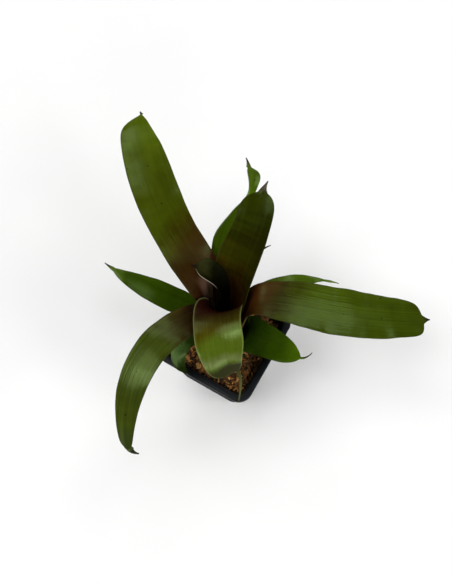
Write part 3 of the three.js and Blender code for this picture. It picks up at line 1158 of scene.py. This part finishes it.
    def _faces(self, rows: int, wide: int) -> Faces:
        """Join the two faces of the leaf and close its margins and ends.

        Args:
            rows: Rows along the leaf.
            wide: Points across the leaf.

        Returns:
            Vertex numbers of each quad.
        """
        i, j = np.meshgrid(np.arange(rows - 1), np.arange(wide - 1), indexing="ij")
        a = (i * wide + j).ravel()
        upper = np.stack([a, a + wide, a + wide + 1, a + 1], -1)
        shift = rows * wide
        under = upper[:, ::-1] + shift
        k = np.arange(rows - 1) * wide
        right = np.stack([k + wide, k, k + shift, k + wide + shift], -1)
        e = k + wide - 1
        left = np.stack([e, e + wide, e + wide + shift, e + shift], -1)
        m = np.arange(wide - 1)
        foot = np.stack([m, m + 1, m + 1 + shift, m + shift], -1)
        n = m + (rows - 1) * wide
        tip = np.stack([n + 1, n, n + shift, n + 1 + shift], -1)
        return [tuple(face) for face in np.concatenate([upper, under, right, left, foot, tip]).tolist()]


# The rolled leaf stands in the funnel's shade, and that shade is painted into its near-black base, blade
# and back: only its tip has colour and a pale margin.
ROLLED = LeafFinish(
    "#040201", "#040301", "#070601", "#22230c",
    flush_ends=0.5, blade_begins=0.8, end_begins=0.84, end_ends=0.93,
    margin="#b0b09c", margin_strength=0.85, margin_begins=0.84, margin_side=1.0,
    tip_share=0.03, back="#0a0802", wax=0.36, shine=0.04,
)
UPRIGHT = LeafFinish(
    "#240803", "#281a02", "#222301", "#252c01",
    flush_ends=0.36, blade_begins=0.54, end_begins=0.7, end_ends=0.85, flush_tilt=-0.05,
    margin="#30360f", tip="#4a403a", tip_share=0.035, bands=0.34, shine=0.12,
)
# The front lip's end, where it turns steeply down, is painted near-black: painted shade. A highlight is
# painted along its fold, and its pale margins are partly their own colour and partly a painted highlight on
# the rolled edges.
LIP = LeafFinish(
    "#210604", "#3c3704", "#42510f", "#1e1a03",
    flush_ends=0.59, blade_begins=0.63, end_begins=0.785, end_ends=0.81, end_dullness=0.6,
    flush_tilt=0.05, drift=0.05, crease=0.775,
    margin="#7d8650", margin_strength=0.45, tip="#4a482a", tip_share=0.07, wax=0.16,
)
# Where this leaf rises out of the funnel, a pale, rosy sheen is painted on it, lighter than the shade that
# falls there.
LONG_BACK = LeafFinish(
    "#35150a", "#2b1c01", "#343d01", "#495a06",
    flush_ends=0.38, blade_begins=0.54, end_begins=0.7, flush_tilt=0.05, drift=0.07, heart_sheen="#93705c",
    tip_share=0.007, streaks=0.08, ribbing=0.6, shine=0.24,
)
# The base's flush is painted lighter than the leaf's own red: painted light on a base that the upright leaf
# shades.
LONG_RIGHT = LeafFinish(
    "#4a220a", "#241c01", "#364402", "#2f3902",
    flush_ends=0.31, blade_begins=0.48, flush_tilt=-0.04, drift=0.1,
    tip="#2a2018", tip_share=0.014, streaks=0.15, ribbing=1.6,
)
ARCHING = LeafFinish(
    "#280b04", "#2a2003", "#343e0c", "#2c3624",
    flush_ends=0.38, blade_begins=0.48, margin="#33240c", margin_strength=0.5,
    tip_share=0.028, streaks=0.26, ribbing=1.9, shine=0.24,
)
PINCHED = LeafFinish(
    "#302002", "#303e02", "#3d5204", "#566828",
    flush_ends=0.3, blade_begins=0.42, margin="#a9ae98", margin_strength=0.7, margin_begins=0.62,
    tip="#2c2a20", tip_share=0.03,
)
POINTED = LeafFinish(
    "#342a02", "#2f3602", "#2c4002", "#5a6c28",
    flush_ends=0.2, blade_begins=0.36, end_begins=0.8, tip_share=0.03, shine=0.16,
)
NARROW = LeafFinish(
    "#2a2406", "#34440a", "#465d08", "#5a6a24",
    flush_ends=0.2, blade_begins=0.36, tip="#3c4024",
)
# The base is painted a lighter green than the belly: painted light on a base that the leaves above shade.
BROAD = LeafFinish(
    "#3c5a06", "#2c4404", "#304602", "#486408",
    flush_ends=0.3, blade_begins=0.46, end_begins=0.6, tip_share=0.06, shine=0.16,
)
SHORT = LeafFinish(
    "#2a2406", "#2e3c08", "#3a4e0a", "#3a4a14",
    flush_ends=0.2, blade_begins=0.36, tip_share=0.045,
)
SMALL = LeafFinish(
    "#161c02", "#1d2e04", "#3d5424", "#1c2a08",
    flush_ends=0.5, blade_begins=0.62, end_begins=0.74, end_ends=0.9, tip_share=0.03, shine=0.3,
)


def revolve(profile: Sequence[tuple[float, float]], turns: int) -> tuple[np.ndarray, Faces]:
    """Turn a profile about the upright axis.

    Args:
        profile: Radius and height of each point, on the axis at both ends.
        turns: Steps round.

    Returns:
        Places in millimetres and the faces.
    """
    angles = np.arange(turns) * 2 * math.pi / turns
    rings = [
        np.stack([r * np.cos(angles), r * np.sin(angles), np.full(turns, z)], -1) for r, z in profile[1:-1]
    ]
    points = np.concatenate([[[0, 0, profile[0][1]]], *rings, [[0, 0, profile[-1][1]]]])
    faces: Faces = []
    last = len(points) - 1
    for k in range(turns):
        n = (k + 1) % turns
        faces.append((0, 1 + n, 1 + k))
        for ring in range(len(rings) - 1):
            a = 1 + ring * turns
            faces.append((a + k, a + n, a + turns + n, a + turns + k))
        top = 1 + (len(rings) - 1) * turns
        faces.append((top + k, top + n, last))
    return points, faces


@dataclass(frozen=True)
class Crown:
    """Short stem with a low cone on it, ringed by the scars of old leaves.

    Attributes:
        axis: The plant's axis.
        stem: Radius and height of each point of the stem, from the axis up to the cone.
        scar_height: Height of the rings that old leaves left.
        cone_rows: Rows up the cone.
        bud: Radius of the flat bud on top, and how far its edge and middle stand above the cone.
        turns: Steps round.
        finish: Finish of the stem and crown.
    """

    axis: PlantAxis
    stem: tuple[tuple[float, float], ...] = (
        (0.0, 38.0), (3.4, 38.0), (4.4, 38.8), (5.0, 41.0), (5.0, 54.3),
    )
    scar_height: float = 0.12
    cone_rows: int = 60
    bud: tuple[float, float, float] = (1.4, 0.6, 0.8)
    turns: int = 72
    finish: DriedSheath = field(default_factory=DriedSheath)

    def build(self) -> bpy.types.Object:
        """Build and dress the crown.

        Returns:
            The crown's object.
        """
        axis = self.axis
        rim = axis.inner_radius + (axis.layers - 0.5) * axis.layer_pitch
        # The thin edge of the cone stands out beyond the stem, just over the medium.
        profile = [*self.stem, (rim - 0.5, 54.3), (rim, 54.7)]
        cone = np.linspace(rim, axis.inner_radius - 0.9, self.cone_rows)
        scars = self.scar_height * np.cos(2 * math.pi * (cone - axis.inner_radius) / axis.layer_pitch)
        # The cone lies 0.1 mm low, so that its scars stay clear of the leaves' feet.
        profile += [(r, axis.cone_height(r) + scar - 0.1) for r, scar in zip(cone, scars)]
        radius, edge, middle = self.bud
        top = axis.cone_height(axis.inner_radius - 0.9)
        profile += [(radius, top + edge), (0.0, top + middle)]
        points, faces = revolve(profile, self.turns)
        crown = build_object("crown", axis.lean(points), faces, crease=40.0)
        settle(crown, self.finish.material("dried_crown"), "stem")
        return crown


@dataclass(frozen=True)
class Rosette:
    """Twelve leaves from the rolled centre outward, on one crown.

    Attributes:
        axis: The plant's axis.
        leaves: The leaves, innermost first.
    """

    axis: PlantAxis = field(default_factory=PlantAxis)
    leaves: tuple[Leaf, ...] = (
        Leaf(
            "leaf_01_rolled_centre", ROLLED, layer=0, length=77, wrap=44, flare=3,
            heading=(164, 196, 203, 205), climb=(82, 67, 47, 24), width=(16.5, 16, 19, 24),
            channel=62, blunt=5, awl=3,
        ),
        Leaf(
            "leaf_02_upright_back", UPRIGHT, layer=1, length=110, wrap=48,
            heading=(95, 86, 101, 116), climb=(60, 48, 40, 31), width=(26, 26.5, 22.5, 23),
            channel=25, blunt=12, awl=7, veer=-40, neck_half=2.7, tip_side=-0.15,
        ),
        Leaf(
            "leaf_03_front_lip", LIP, layer=2, length=112, wrap=44, flare=6.5,
            heading=(280, 295, 307, 311, 337, 353), climb=(62, 27, -9, -44, -74, -98),
            width=(29, 29, 28, 28, 23.5, 23.5), roll=(13, 10, 5, 2, -2, -5),
            channel=18, blunt=11, awl=13.5, lift=58, veer=-68, neck_half=1.2, tip_side=0.72,
        ),
        Leaf(
            "leaf_04_long_back_left", LONG_BACK, layer=3, length=165, wrap=44,
            heading=(171, 153, 139, 144), climb=(37, 23, 11, -5), width=(28, 27, 27.5, 18.5),
            roll=(0, 1, 5, 8), channel=12, blunt=22, awl=2.5, neck_half=1.1, tip_side=-0.9,
        ),
        Leaf(
            "leaf_05_long_right", LONG_RIGHT, layer=4, length=159, wrap=40,
            heading=(27, 20, 30, 37), climb=(5, -5, -11, -13), width=(18, 29.5, 30, 21.5),
            channel=12, blunt=55, awl=4.5, neck_half=2.8,
        ),
        Leaf(
            "leaf_06_arching_front_left", ARCHING, layer=5, length=155, wrap=38,
            heading=(245, 258, 283, 314), climb=(40, 10, -30, -44), width=(17, 20, 17, 6.5),
            channel=14, blunt=50, awl=9, lift=20, veer=80, neck_half=2.3, tip_side=0.5,
        ),
        Leaf(
            "leaf_07_pinched_back", PINCHED, layer=6, length=117.5, wrap=34,
            heading=(115, 105, 97, 94, 106, 144), climb=(61, 52, 44, 34, 19, 4),
            width=(18, 23.5, 27, 16, 5, 20),
            channel=20, fold=30, blunt=9, awl=7.5, neck_half=1.7, tip_side=0.45,
        ),
        Leaf(
            "leaf_08_pointed_left", POINTED, layer=7, length=96, wrap=22,
            heading=(203, 195, 187, 172), climb=(29, 21, 12, 3), width=(14, 17, 15.5, 10),
            channel=16, blunt=5, awl=6, neck_half=1.2, tip_half=0.3,
        ),
        Leaf(
            "leaf_09_narrow_back_right", NARROW, layer=7, length=87, wrap=18,
            heading=(60, 50, 36, 18), climb=(29, 18, 5, -11), width=(11, 15, 10.5, 3.5),
            channel=19, blunt=5, awl=6, neck_half=0.9, tip_half=0.25,
        ),
        Leaf(
            "leaf_10_broad_front_right", BROAD, layer=8, length=63, wrap=10,
            heading=(2, 0, 5, 11), climb=(20, 8, -2, -8), width=(28.5, 23.5, 20.5, 17.5),
            channel=12, blunt=6, awl=8.5, lift=25, veer=64, neck_half=0.8, tip_half=0.25,
        ),
        Leaf(
            "leaf_11_short_back", SHORT, layer=8, length=64, wrap=12,
            heading=(105, 99, 77, 47), climb=(28, 20, 14, 8), width=(13.5, 14.5, 10, 4.5),
            channel=18, blunt=5, awl=6, neck_half=0.9, tip_half=0.25,
        ),
        Leaf(
            "leaf_12_small_front", SMALL, layer=8, length=53, wrap=8,
            heading=(235, 240, 293, 374), climb=(18, 8, -2, -13), width=(8.5, 10.5, 12.5, 13.5),
            roll=(9, 10, 11, 11), channel=7, blunt=4, awl=3,
        ),
    )

    def build(self) -> list[bpy.types.Object]:
        """Build the leaves and the crown.

        Returns:
            The leaves, innermost first, and the crown.
        """
        pieces = [leaf.build(self.axis, number) for number, leaf in enumerate(self.leaves, start=1)]
        return [*pieces, Crown(self.axis).build()]


# Pot and growing medium


def square_ring(half: float, corner: float, z: float, steps: int) -> np.ndarray:
    """Lay out a square ring with rounded corners, counter-clockwise from above.

    Args:
        half: Half the side.
        corner: Corner radius.
        z: Height of the ring.
        steps: Steps round each corner.

    Returns:
        Places in millimetres.
    """
    angles = np.concatenate([q * math.pi / 2 + np.linspace(0, math.pi / 2, steps + 1) for q in range(4)])
    signs = np.repeat([[1, 1], [-1, 1], [-1, -1], [1, -1]], steps + 1, axis=0)
    flat = signs * (half - corner) + corner * np.stack([np.cos(angles), np.sin(angles)], -1)
    return np.column_stack([flat, np.full(len(flat), z)])


def loft(rings: Sequence[np.ndarray]) -> tuple[np.ndarray, Faces]:
    """Skin a stack of rings and close both ends.

    Args:
        rings: Rings with the same number of points.

    Returns:
        Places in millimetres and the faces.
    """
    count = len(rings[0])
    faces: Faces = []
    for k in range(len(rings) - 1):
        for i in range(count):
            j = (i + 1) % count
            a, b = k * count + i, k * count + j
            faces.append((a, b, b + count, a + count))
    last = (len(rings) - 1) * count
    faces.append(tuple(range(count - 1, -1, -1)))
    faces.append(tuple(range(last, last + count)))
    return np.concatenate(rings), faces


@dataclass(frozen=True)
class NurseryPot:
    """Tapered square pot with a hollow down-turned rim and four drain holes.

    Attributes:
        height: Height of the pot.
        top_half: Half the width over the rim.
        base_half: Half the width of the foot.
        overhang: How far the rim would stand out beyond the tapered body, if that reached the top.
        wall: Thickness of the wall.
        floor: Thickness of the floor.
        rim_depth: Height of the rim's skirt.
        foot: Rounded foot: distance in, corner radius and height up from the ground.
        body: Corner radii of the tapered body, with their heights.
        edge: Rounded top of the rim: distance in, corner radius and depth below the top.
        mouth: Rounded edge of the opening: distance out, corner radius and depth below the top.
        corner_steps: Steps round each corner.
        drain_radius: Radius of the drain holes.
        drain_offset: Distance of the drain holes from the middle, along x and y.
        drain_steps: Steps round each drain hole.
        crease: Edges sharper than this many degrees stay sharp.
        finish: Finish of the pot.
    """

    height: float = 62.0
    top_half: float = 35.0
    base_half: float = 24.0
    overhang: float = 3.4
    wall: float = 1.2
    floor: float = 1.6
    rim_depth: float = 6.2
    foot: Profile = ((0.8, 5.2, 0.0), (0.35, 5.5, 0.12), (0.05, 5.8, 0.45))
    body: tuple[tuple[float, float], ...] = ((6.0, 1.0), (6.5, 20.0), (7.0, 40.0))
    edge: Profile = ((0.1, 9.0, 1.6), (0.02, 9.0, 1.1), (0.12, 8.9, 0.6), (0.4, 8.7, 0.2), (0.85, 8.4, 0.0))
    mouth: Profile = ((0.9, 7.0, 0.0), (0.4, 6.8, 0.15), (0.05, 6.5, 0.6))
    corner_steps: int = 14
    drain_radius: float = 3.0
    drain_offset: float = 13.0
    drain_steps: int = 32
    crease: float = 35.0
    finish: MouldedPolypropylene = field(default_factory=MouldedPolypropylene)

    def body_half(self, z: float) -> float:
        """Return half the outside width of the tapered body at a height."""
        return self.base_half + (self.top_half - self.overhang - self.base_half) * z / self.height

    def _profile(self) -> list[tuple[float, float, float]]:
        """Run the pot's profile up its outside, round the rim and down its inside.

        Returns:
            Half width, corner radius and height of each ring.
        """
        skirt = self.height - self.rim_depth
        shelf = self.height - self.wall
        top, inside = self.top_half, self.body_half(self.height) - self.wall
        outer = [(self.base_half - back, corner, z) for back, corner, z in self.foot]
        outer += [(self.body_half(z), corner, z) for corner, z in (*self.body, (7.5, shelf - 1))]
        # The rim is open below: out along its underside, down its skirt and round the lower edge.
        outer += [
            (self.body_half(shelf) + 0.4, 7.6, shelf),
            (top - 1.9, 8.2, shelf),
            (top - 1.7, 8.2, shelf - 0.3),
            (top - 1.8, 8.2, skirt + 0.2),
            (top - 1.6, 8.3, skirt),
            (top - 0.8, 8.7, skirt),
            (top - 0.6, 8.8, skirt + 0.2),
        ]
        outer += [(top - back, corner, self.height - down) for back, corner, down in self.edge]
        inner = [(inside + out, corner, self.height - down) for out, corner, down in self.mouth]
        lining = ((6.3, self.height - 2), (5.6, 30.0), (5.0, self.floor + 1))
        inner += [(self.body_half(z) - self.wall, corner, z) for corner, z in lining]
        inner.append((self.body_half(self.floor) - self.wall - 0.8, 4.4, self.floor))
        return outer + inner

    def build(self) -> bpy.types.Object:
        """Build and dress the pot.

        Returns:
            The pot's object.
        """
        rings = [square_ring(half, corner, z, self.corner_steps) for half, corner, z in self._profile()]
        points, faces = loft(rings)
        pot = build_object("square_pot", points, faces, crease=self.crease)
        self._drill(pot)
        settle(pot, self.finish.material("black_polypropylene"), "pot")
        return pot

    def _drill(self, pot: bpy.types.Object) -> None:
        """Cut the drain holes through the floor.

        Args:
            pot: The undrilled pot.
        """
        low, high = -2, self.floor + 2
        profile = [(0, low), (self.drain_radius, low), (self.drain_radius, high), (0, high)]
        drill, sides = revolve(profile, self.drain_steps)
        points: list[np.ndarray] = []
        faces: Faces = []
        for x in (-self.drain_offset, self.drain_offset):
            for y in (-self.drain_offset, self.drain_offset):
                shift = len(points) * len(drill)
                points.append(drill + np.array([x, y, 0.0]))
                faces += [tuple(n + shift for n in side) for side in sides]
        cutter = build_object("drain_cutter", np.concatenate(points), faces)
        cut = pot.modifiers.new("drain_holes", "BOOLEAN")
        cut.operation = "DIFFERENCE"
        cut.solver = "EXACT"
        cut.object = cutter
        depsgraph = bpy.context.evaluated_depsgraph_get()
        drilled = bpy.data.meshes.new_from_object(pot.evaluated_get(depsgraph))
        pot.modifiers.clear()
        pot.data = drilled
        pot.data.set_sharp_from_angle(angle=math.radians(self.crease))
        bpy.data.objects.remove(cutter, do_unlink=True)


class ChipCut(Enum):
    """How a bark chip broke: the size of its sides in millimetres, smallest and largest."""

    GRANULE = ((1.5, 3.0), (1.2, 2.2), (0.9, 1.8))
    SPLINTER = ((4.5, 9.0), (1.0, 1.9), (0.8, 1.4))
    CHUNK = ((3.8, 6.8), (2.4, 4.2), (1.6, 2.8))


def chip_form() -> tuple[np.ndarray, Faces]:
    """Shape a block with an extra point on each edge and face, rounded a little.

    Returns:
        Places about its middle, in halves of its sides, and the faces.
    """
    steps = (-1, 0, 1)
    shell = [(x, y, z) for x in steps for y in steps for z in steps if (x, y, z) != (0, 0, 0)]
    number = {point: k for k, point in enumerate(shell)}
    faces: Faces = []
    for axis in range(3):
        b, c = (axis + 1) % 3, (axis + 2) % 3
        for side in (-1, 1):
            for u in (-1, 0):
                for v in (-1, 0):
                    corners = []
                    for du, dv in ((0, 0), (1, 0), (1, 1), (0, 1)):
                        point = [0, 0, 0]
                        point[axis], point[b], point[c] = side, u + du, v + dv
                        corners.append(number[tuple(point)])
                    faces.append(tuple(corners if side > 0 else corners[::-1]))
    points = np.array(shell, float)
    length = np.linalg.norm(points, axis=1, keepdims=True)
    # The form lies about halfway between a block and a ball.
    block, ball, radius = 0.45, 0.55, 1.18
    return points * (block + ball * radius / length), faces


@dataclass(frozen=True)
class GrowingMedium:
    """Bark chips over a packed bed that fills the pot, round the plant's crown.

    Attributes:
        top: Height of the bed.
        inset: Distance of the bed from the pot's outside.
        foot: Height of the bed's underside.
        corner: Corner radius of the bed's top.
        corner_steps: Steps round each corner.
        collar: Radius of the bed's innermost ring round the stem.
        socket: Radius of the stem's socket.
        socket_foot: Height of the socket's floor.
        bed_tone: Tone of the bed, from 0 for the darkest.
        chips: Number of chips.
        cut_shares: Share of the chips for each way of breaking, in the order of ChipCut.
        keep_out: Radius round the axis that stays free of chips, under the leaves' feet.
        scatter: Lowest and highest place of a chip's middle over the bed.
        bank: Height to which the chips are banked up towards the wall, the distance from the axis where
            that begins, and its width.
        wear: Least and greatest share of a chip's size at each of its points.
        tumble: Usual slope of a chip, in radians.
        seed: Seed of all that is random.
        form: Points and faces of an unworn chip.
        axis: The plant's axis.
        pot: The pot.
        finish: Finish of the bark.
    """

    top: float = 54.0
    inset: float = 1.5
    foot: float = 1.9
    corner: float = 6.2
    corner_steps: int = 8
    collar: float = 8.0
    socket: float = 5.3
    socket_foot: float = 37.7
    bed_tone: float = 0.2
    chips: int = 1700
    cut_shares: tuple[float, float, float] = (0.5, 0.3, 0.2)
    keep_out: float = 14.3
    scatter: tuple[float, float] = (-0.1, 1.5)
    bank: tuple[float, float, float] = (1.3, 15.0, 14.0)
    wear: tuple[float, float] = (0.68, 1.12)
    tumble: float = 0.32
    seed: int = 5
    form: tuple[np.ndarray, Faces] = field(default_factory=chip_form)
    axis: PlantAxis = field(default_factory=PlantAxis)
    pot: NurseryPot = field(default_factory=NurseryPot)
    finish: SplitBark = field(default_factory=SplitBark)

    def build(self) -> bpy.types.Object:
        """Build and dress the bed and its chips as one piece.

        Returns:
            The growing medium's object.
        """
        rng = np.random.default_rng(self.seed)
        bed, faces = self._bed()
        points, places, tones = [bed], [bed], [np.full(len(bed), self.bed_tone)]
        shift = len(bed)
        for centre, cut in self._sites(rng):
            chip, local = self._chip(rng, cut)
            points.append(chip + centre)
            faces += [tuple(n + shift for n in face) for face in self.form[1]]
            # Each chip comes from another place of the bark and has a tone of its own, often a dark one.
            places.append(local + rng.uniform(0, 90, 3))
            tones.append(np.full(len(chip), rng.beta(1.3, 1.7)))
            shift += len(chip)
        attributes = {"chip_mm": np.concatenate(places), "chip_tone": np.concatenate(tones)}
        medium = build_object(
            "bark_chips", np.concatenate(points), faces, crease=38.0, attributes=attributes
        )
        settle(medium, self.finish.material("split_bark"), "growing_medium")
        return medium

    def _bed(self) -> tuple[np.ndarray, Faces]:
        """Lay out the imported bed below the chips, with a socket for the stem left open.

        Returns:
            Places in millimetres and the faces.
        """
        bevel = self.foot + 1.2
        rings = [
            square_ring(half - self.inset, corner, z, self.corner_steps)
            for half, corner, z in (
                (self.pot.body_half(self.foot) - 1, 4.2, self.foot),
                (self.pot.body_half(bevel), 4.8, bevel),
                (self.pot.body_half(30), 5.4, 30),
                (self.pot.body_half(self.top), self.corner, self.top - 0.4),
            )
        ]
        edge = rings[-1]
        centre = np.array([*self.axis.centre, 0.0])
        for share in (0.25, 0.5, 0.75):
            middle = centre + (edge - centre) * (1 - share)
            collar = self._round(edge, self.collar, self.top)
            ring = middle * (1 - share) + collar * share
            ring[:, 2] = self.top
            rings.append(ring)
        rings += [self._round(edge, self.socket, z) for z in (self.top, self.socket_foot)]
        return loft(rings)

    def _round(self, edge: np.ndarray, radius: float, z: float) -> np.ndarray:
        """Project a ring's points onto a circle about the stem.

        Args:
            edge: Places of the ring.
            radius: Radius of the circle.
            z: Height of the circle.

        Returns:
            Places on the circle.
        """
        away = edge[:, :2] - np.array(self.axis.centre)
        away = away / np.linalg.norm(away, axis=1, keepdims=True)
        return np.column_stack([away * radius + np.array(self.axis.centre), np.full(len(edge), z)])

    def _sites(self, rng: np.random.Generator) -> list[tuple[np.ndarray, ChipCut]]:
        """Scatter the chips' centres over the bed, clear of the crown and the pot's wall.

        Args:
            rng: Seeded random source.

        Returns:
            Centre and cut of each chip.
        """
        reach = self.pot.body_half(self.top) - self.inset
        straight = reach - self.corner
        height, begins, width = self.bank
        cuts = list(ChipCut)
        sites: list[tuple[np.ndarray, ChipCut]] = []
        while len(sites) < self.chips:
            x, y = rng.uniform(-reach, reach, 2)
            cut = cuts[rng.choice(len(cuts), p=self.cut_shares)]
            # A chip's middle keeps off the wall by most of half its greatest length, a splinter's by less.
            margin = 0.5 * cut.value[0][1] * (0.7 if cut is ChipCut.SPLINTER else 0.8)
            inside = max(abs(x), abs(y)) < reach - margin
            beyond = math.hypot(max(abs(x) - straight, 0), max(abs(y) - straight, 0))
            out = math.hypot(x - self.axis.centre[0], y - self.axis.centre[1])
            if inside and beyond < self.corner - margin and out > self.keep_out + margin:
                bank = height * ease(np.array((out - begins) / width)).item()
                z = self.top + rng.uniform(*self.scatter) + bank * rng.uniform(0, 1)
                sites.append((np.array([x, y, z]), cut))
        return sites

    def _chip(self, rng: np.random.Generator, cut: ChipCut) -> tuple[np.ndarray, np.ndarray]:
        """Break one chip: a lopsided block with chipped corners, laid at a random angle.

        Args:
            rng: Seeded random source.
            cut: How the chip broke.

        Returns:
            Places about the chip's centre, turned and unturned.
        """
        sides = np.array([rng.uniform(*span) for span in cut.value])
        local = self.form[0] * sides / 2
        local = local * rng.uniform(*self.wear, local.shape)
        lean = rng.normal(0, self.tumble, 2)
        spin = rng.uniform(0, 2 * math.pi)
        cx, sx, cy, sy, cz, sz = (f(a) for a in (*lean, spin) for f in (math.cos, math.sin))
        turn_x = np.array([[1, 0, 0], [0, cx, -sx], [0, sx, cx]])
        turn_y = np.array([[cy, 0, sy], [0, 1, 0], [-sy, 0, cy]])
        turn_z = np.array([[cz, -sz, 0], [sz, cz, 0], [0, 0, 1]])
        return local @ (turn_z @ turn_y @ turn_x).T, local


# Studio


@dataclass(frozen=True)
class SoftLight:
    """One wide, even light from far away.

    Attributes:
        name: Name of the light.
        heading: Direction that it comes from, in degrees counter-clockwise from +X.
        height: Its height above the horizon, in degrees.
        spread: Its width as seen from the plant, in degrees.
        strength: Its irradiance, in watts for each square metre.
    """

    name: str
    heading: float
    height: float
    spread: float
    strength: float

    def hang(self) -> None:
        """Hang the light."""
        lamp = bpy.data.lights.new(self.name, "SUN")
        lamp.energy = self.strength
        lamp.angle = math.radians(self.spread)
        light = bpy.data.objects.new(self.name, lamp)
        light.rotation_euler = (math.radians(90 - self.height), 0.0, math.radians(self.heading + 90))
        bpy.context.scene.collection.objects.link(light)


@dataclass(frozen=True)
class Studio:
    """Plain pale floor, soft light and the camera that looks down on the rosette.

    Attributes:
        azimuth: How far the camera stands round from the pot's front, in degrees.
        elevation: Height of the camera above level, in degrees.
        focal_px: Focal length in pixels of the photograph.
        distance: Distance of the camera from its target, in millimetres.
        target: Place that the camera looks at, in millimetres.
        sensor: Height of the camera's sensor, in millimetres.
        clip: Nearest and farthest distance that the camera sees, in millimetres.
        floor_half: Half the width of the floor, in millimetres.
        floor_finish: Finish of the floor.
        room_light: Strength of the even light from all around.
        lights: The lights.
    """

    azimuth: float = 30.0
    elevation: float = 67.0
    focal_px: float = 627.0
    distance: float = 380.0
    target: tuple[float, float, float] = (-5.18881, 10.80963, 108.0)
    sensor: float = 36.0
    clip: tuple[float, float] = (10.0, 20000.0)
    floor_half: float = 4000.0
    floor_finish: PaintedBoard = field(default_factory=PaintedBoard)
    room_light: float = 0.08
    lights: tuple[SoftLight, ...] = (
        SoftLight("overhead", heading=205, height=64, spread=36, strength=1.1),
        SoftLight("front", heading=240, height=58, spread=24, strength=0.8),
        SoftLight("right", heading=345, height=34, spread=22, strength=0.9),
        SoftLight("far_right", heading=15, height=36, spread=22, strength=0.6),
        SoftLight("low_right", heading=320, height=14, spread=30, strength=1.0),
        SoftLight("back", heading=78, height=58, spread=20, strength=0.35),
        SoftLight("back_left", heading=105, height=46, spread=20, strength=0.3),
    )

    def build(self) -> None:
        """Set up the camera, the floor, the lights and the world."""
        self._build_camera()
        self._build_floor()
        for light in self.lights:
            light.hang()
        world = bpy.data.worlds.new("soft_room")
        world.use_nodes = True
        background = world.node_tree.nodes["Background"]
        background.inputs["Color"].default_value = linear("#ffffff")
        background.inputs["Strength"].default_value = self.room_light
        bpy.context.scene.world = world
        bpy.context.scene.view_settings.view_transform = "Standard"
        bpy.context.scene.view_settings.look = "None"

    def _build_camera(self) -> None:
        """Place the camera at the photograph's viewing angle."""
        a, e = math.radians(self.azimuth), math.radians(self.elevation)
        back = np.array([math.sin(a) * math.cos(e), -math.cos(a) * math.cos(e), math.sin(e)])
        right = np.array([math.cos(a), math.sin(a), 0.0])
        up = np.cross(back, right)
        lens = bpy.data.cameras.new("camera")
        lens.sensor_fit = "VERTICAL"
        lens.sensor_height = self.sensor
        lens.lens = self.focal_px * self.sensor / IMAGE_HEIGHT
        lens.clip_start, lens.clip_end = (distance * MM for distance in self.clip)
        camera = bpy.data.objects.new("camera", lens)
        place = (np.array(self.target) + self.distance * back) * MM
        columns = np.column_stack([right, up, back, place])
        camera.matrix_world = Matrix([*columns.tolist(), [0.0, 0.0, 0.0, 1.0]])
        bpy.context.scene.collection.objects.link(camera)
        bpy.context.scene.camera = camera

    def _build_floor(self) -> None:
        """Lay the floor that the pot stands on."""
        half = self.floor_half
        points = np.array([[-half, -half, 0], [half, -half, 0], [half, half, 0], [-half, half, 0]])
        floor = build_object("floor", points, [(0, 1, 2, 3)])
        floor.data.materials.append(self.floor_finish.material("painted_board"))


def main() -> None:
    """Build the studio and the part's dressed pieces, and report each piece."""
    logging.basicConfig(level=logging.INFO, format="%(name)s: %(message)s")
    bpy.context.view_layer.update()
    Studio().build()
    pieces = [NurseryPot().build(), GrowingMedium().build(), *Rosette().build()]
    for piece in pieces:
        LOG.info("%s: %d faces", piece.name, len(piece.data.polygons))


if __name__ == "__main__":
    main()
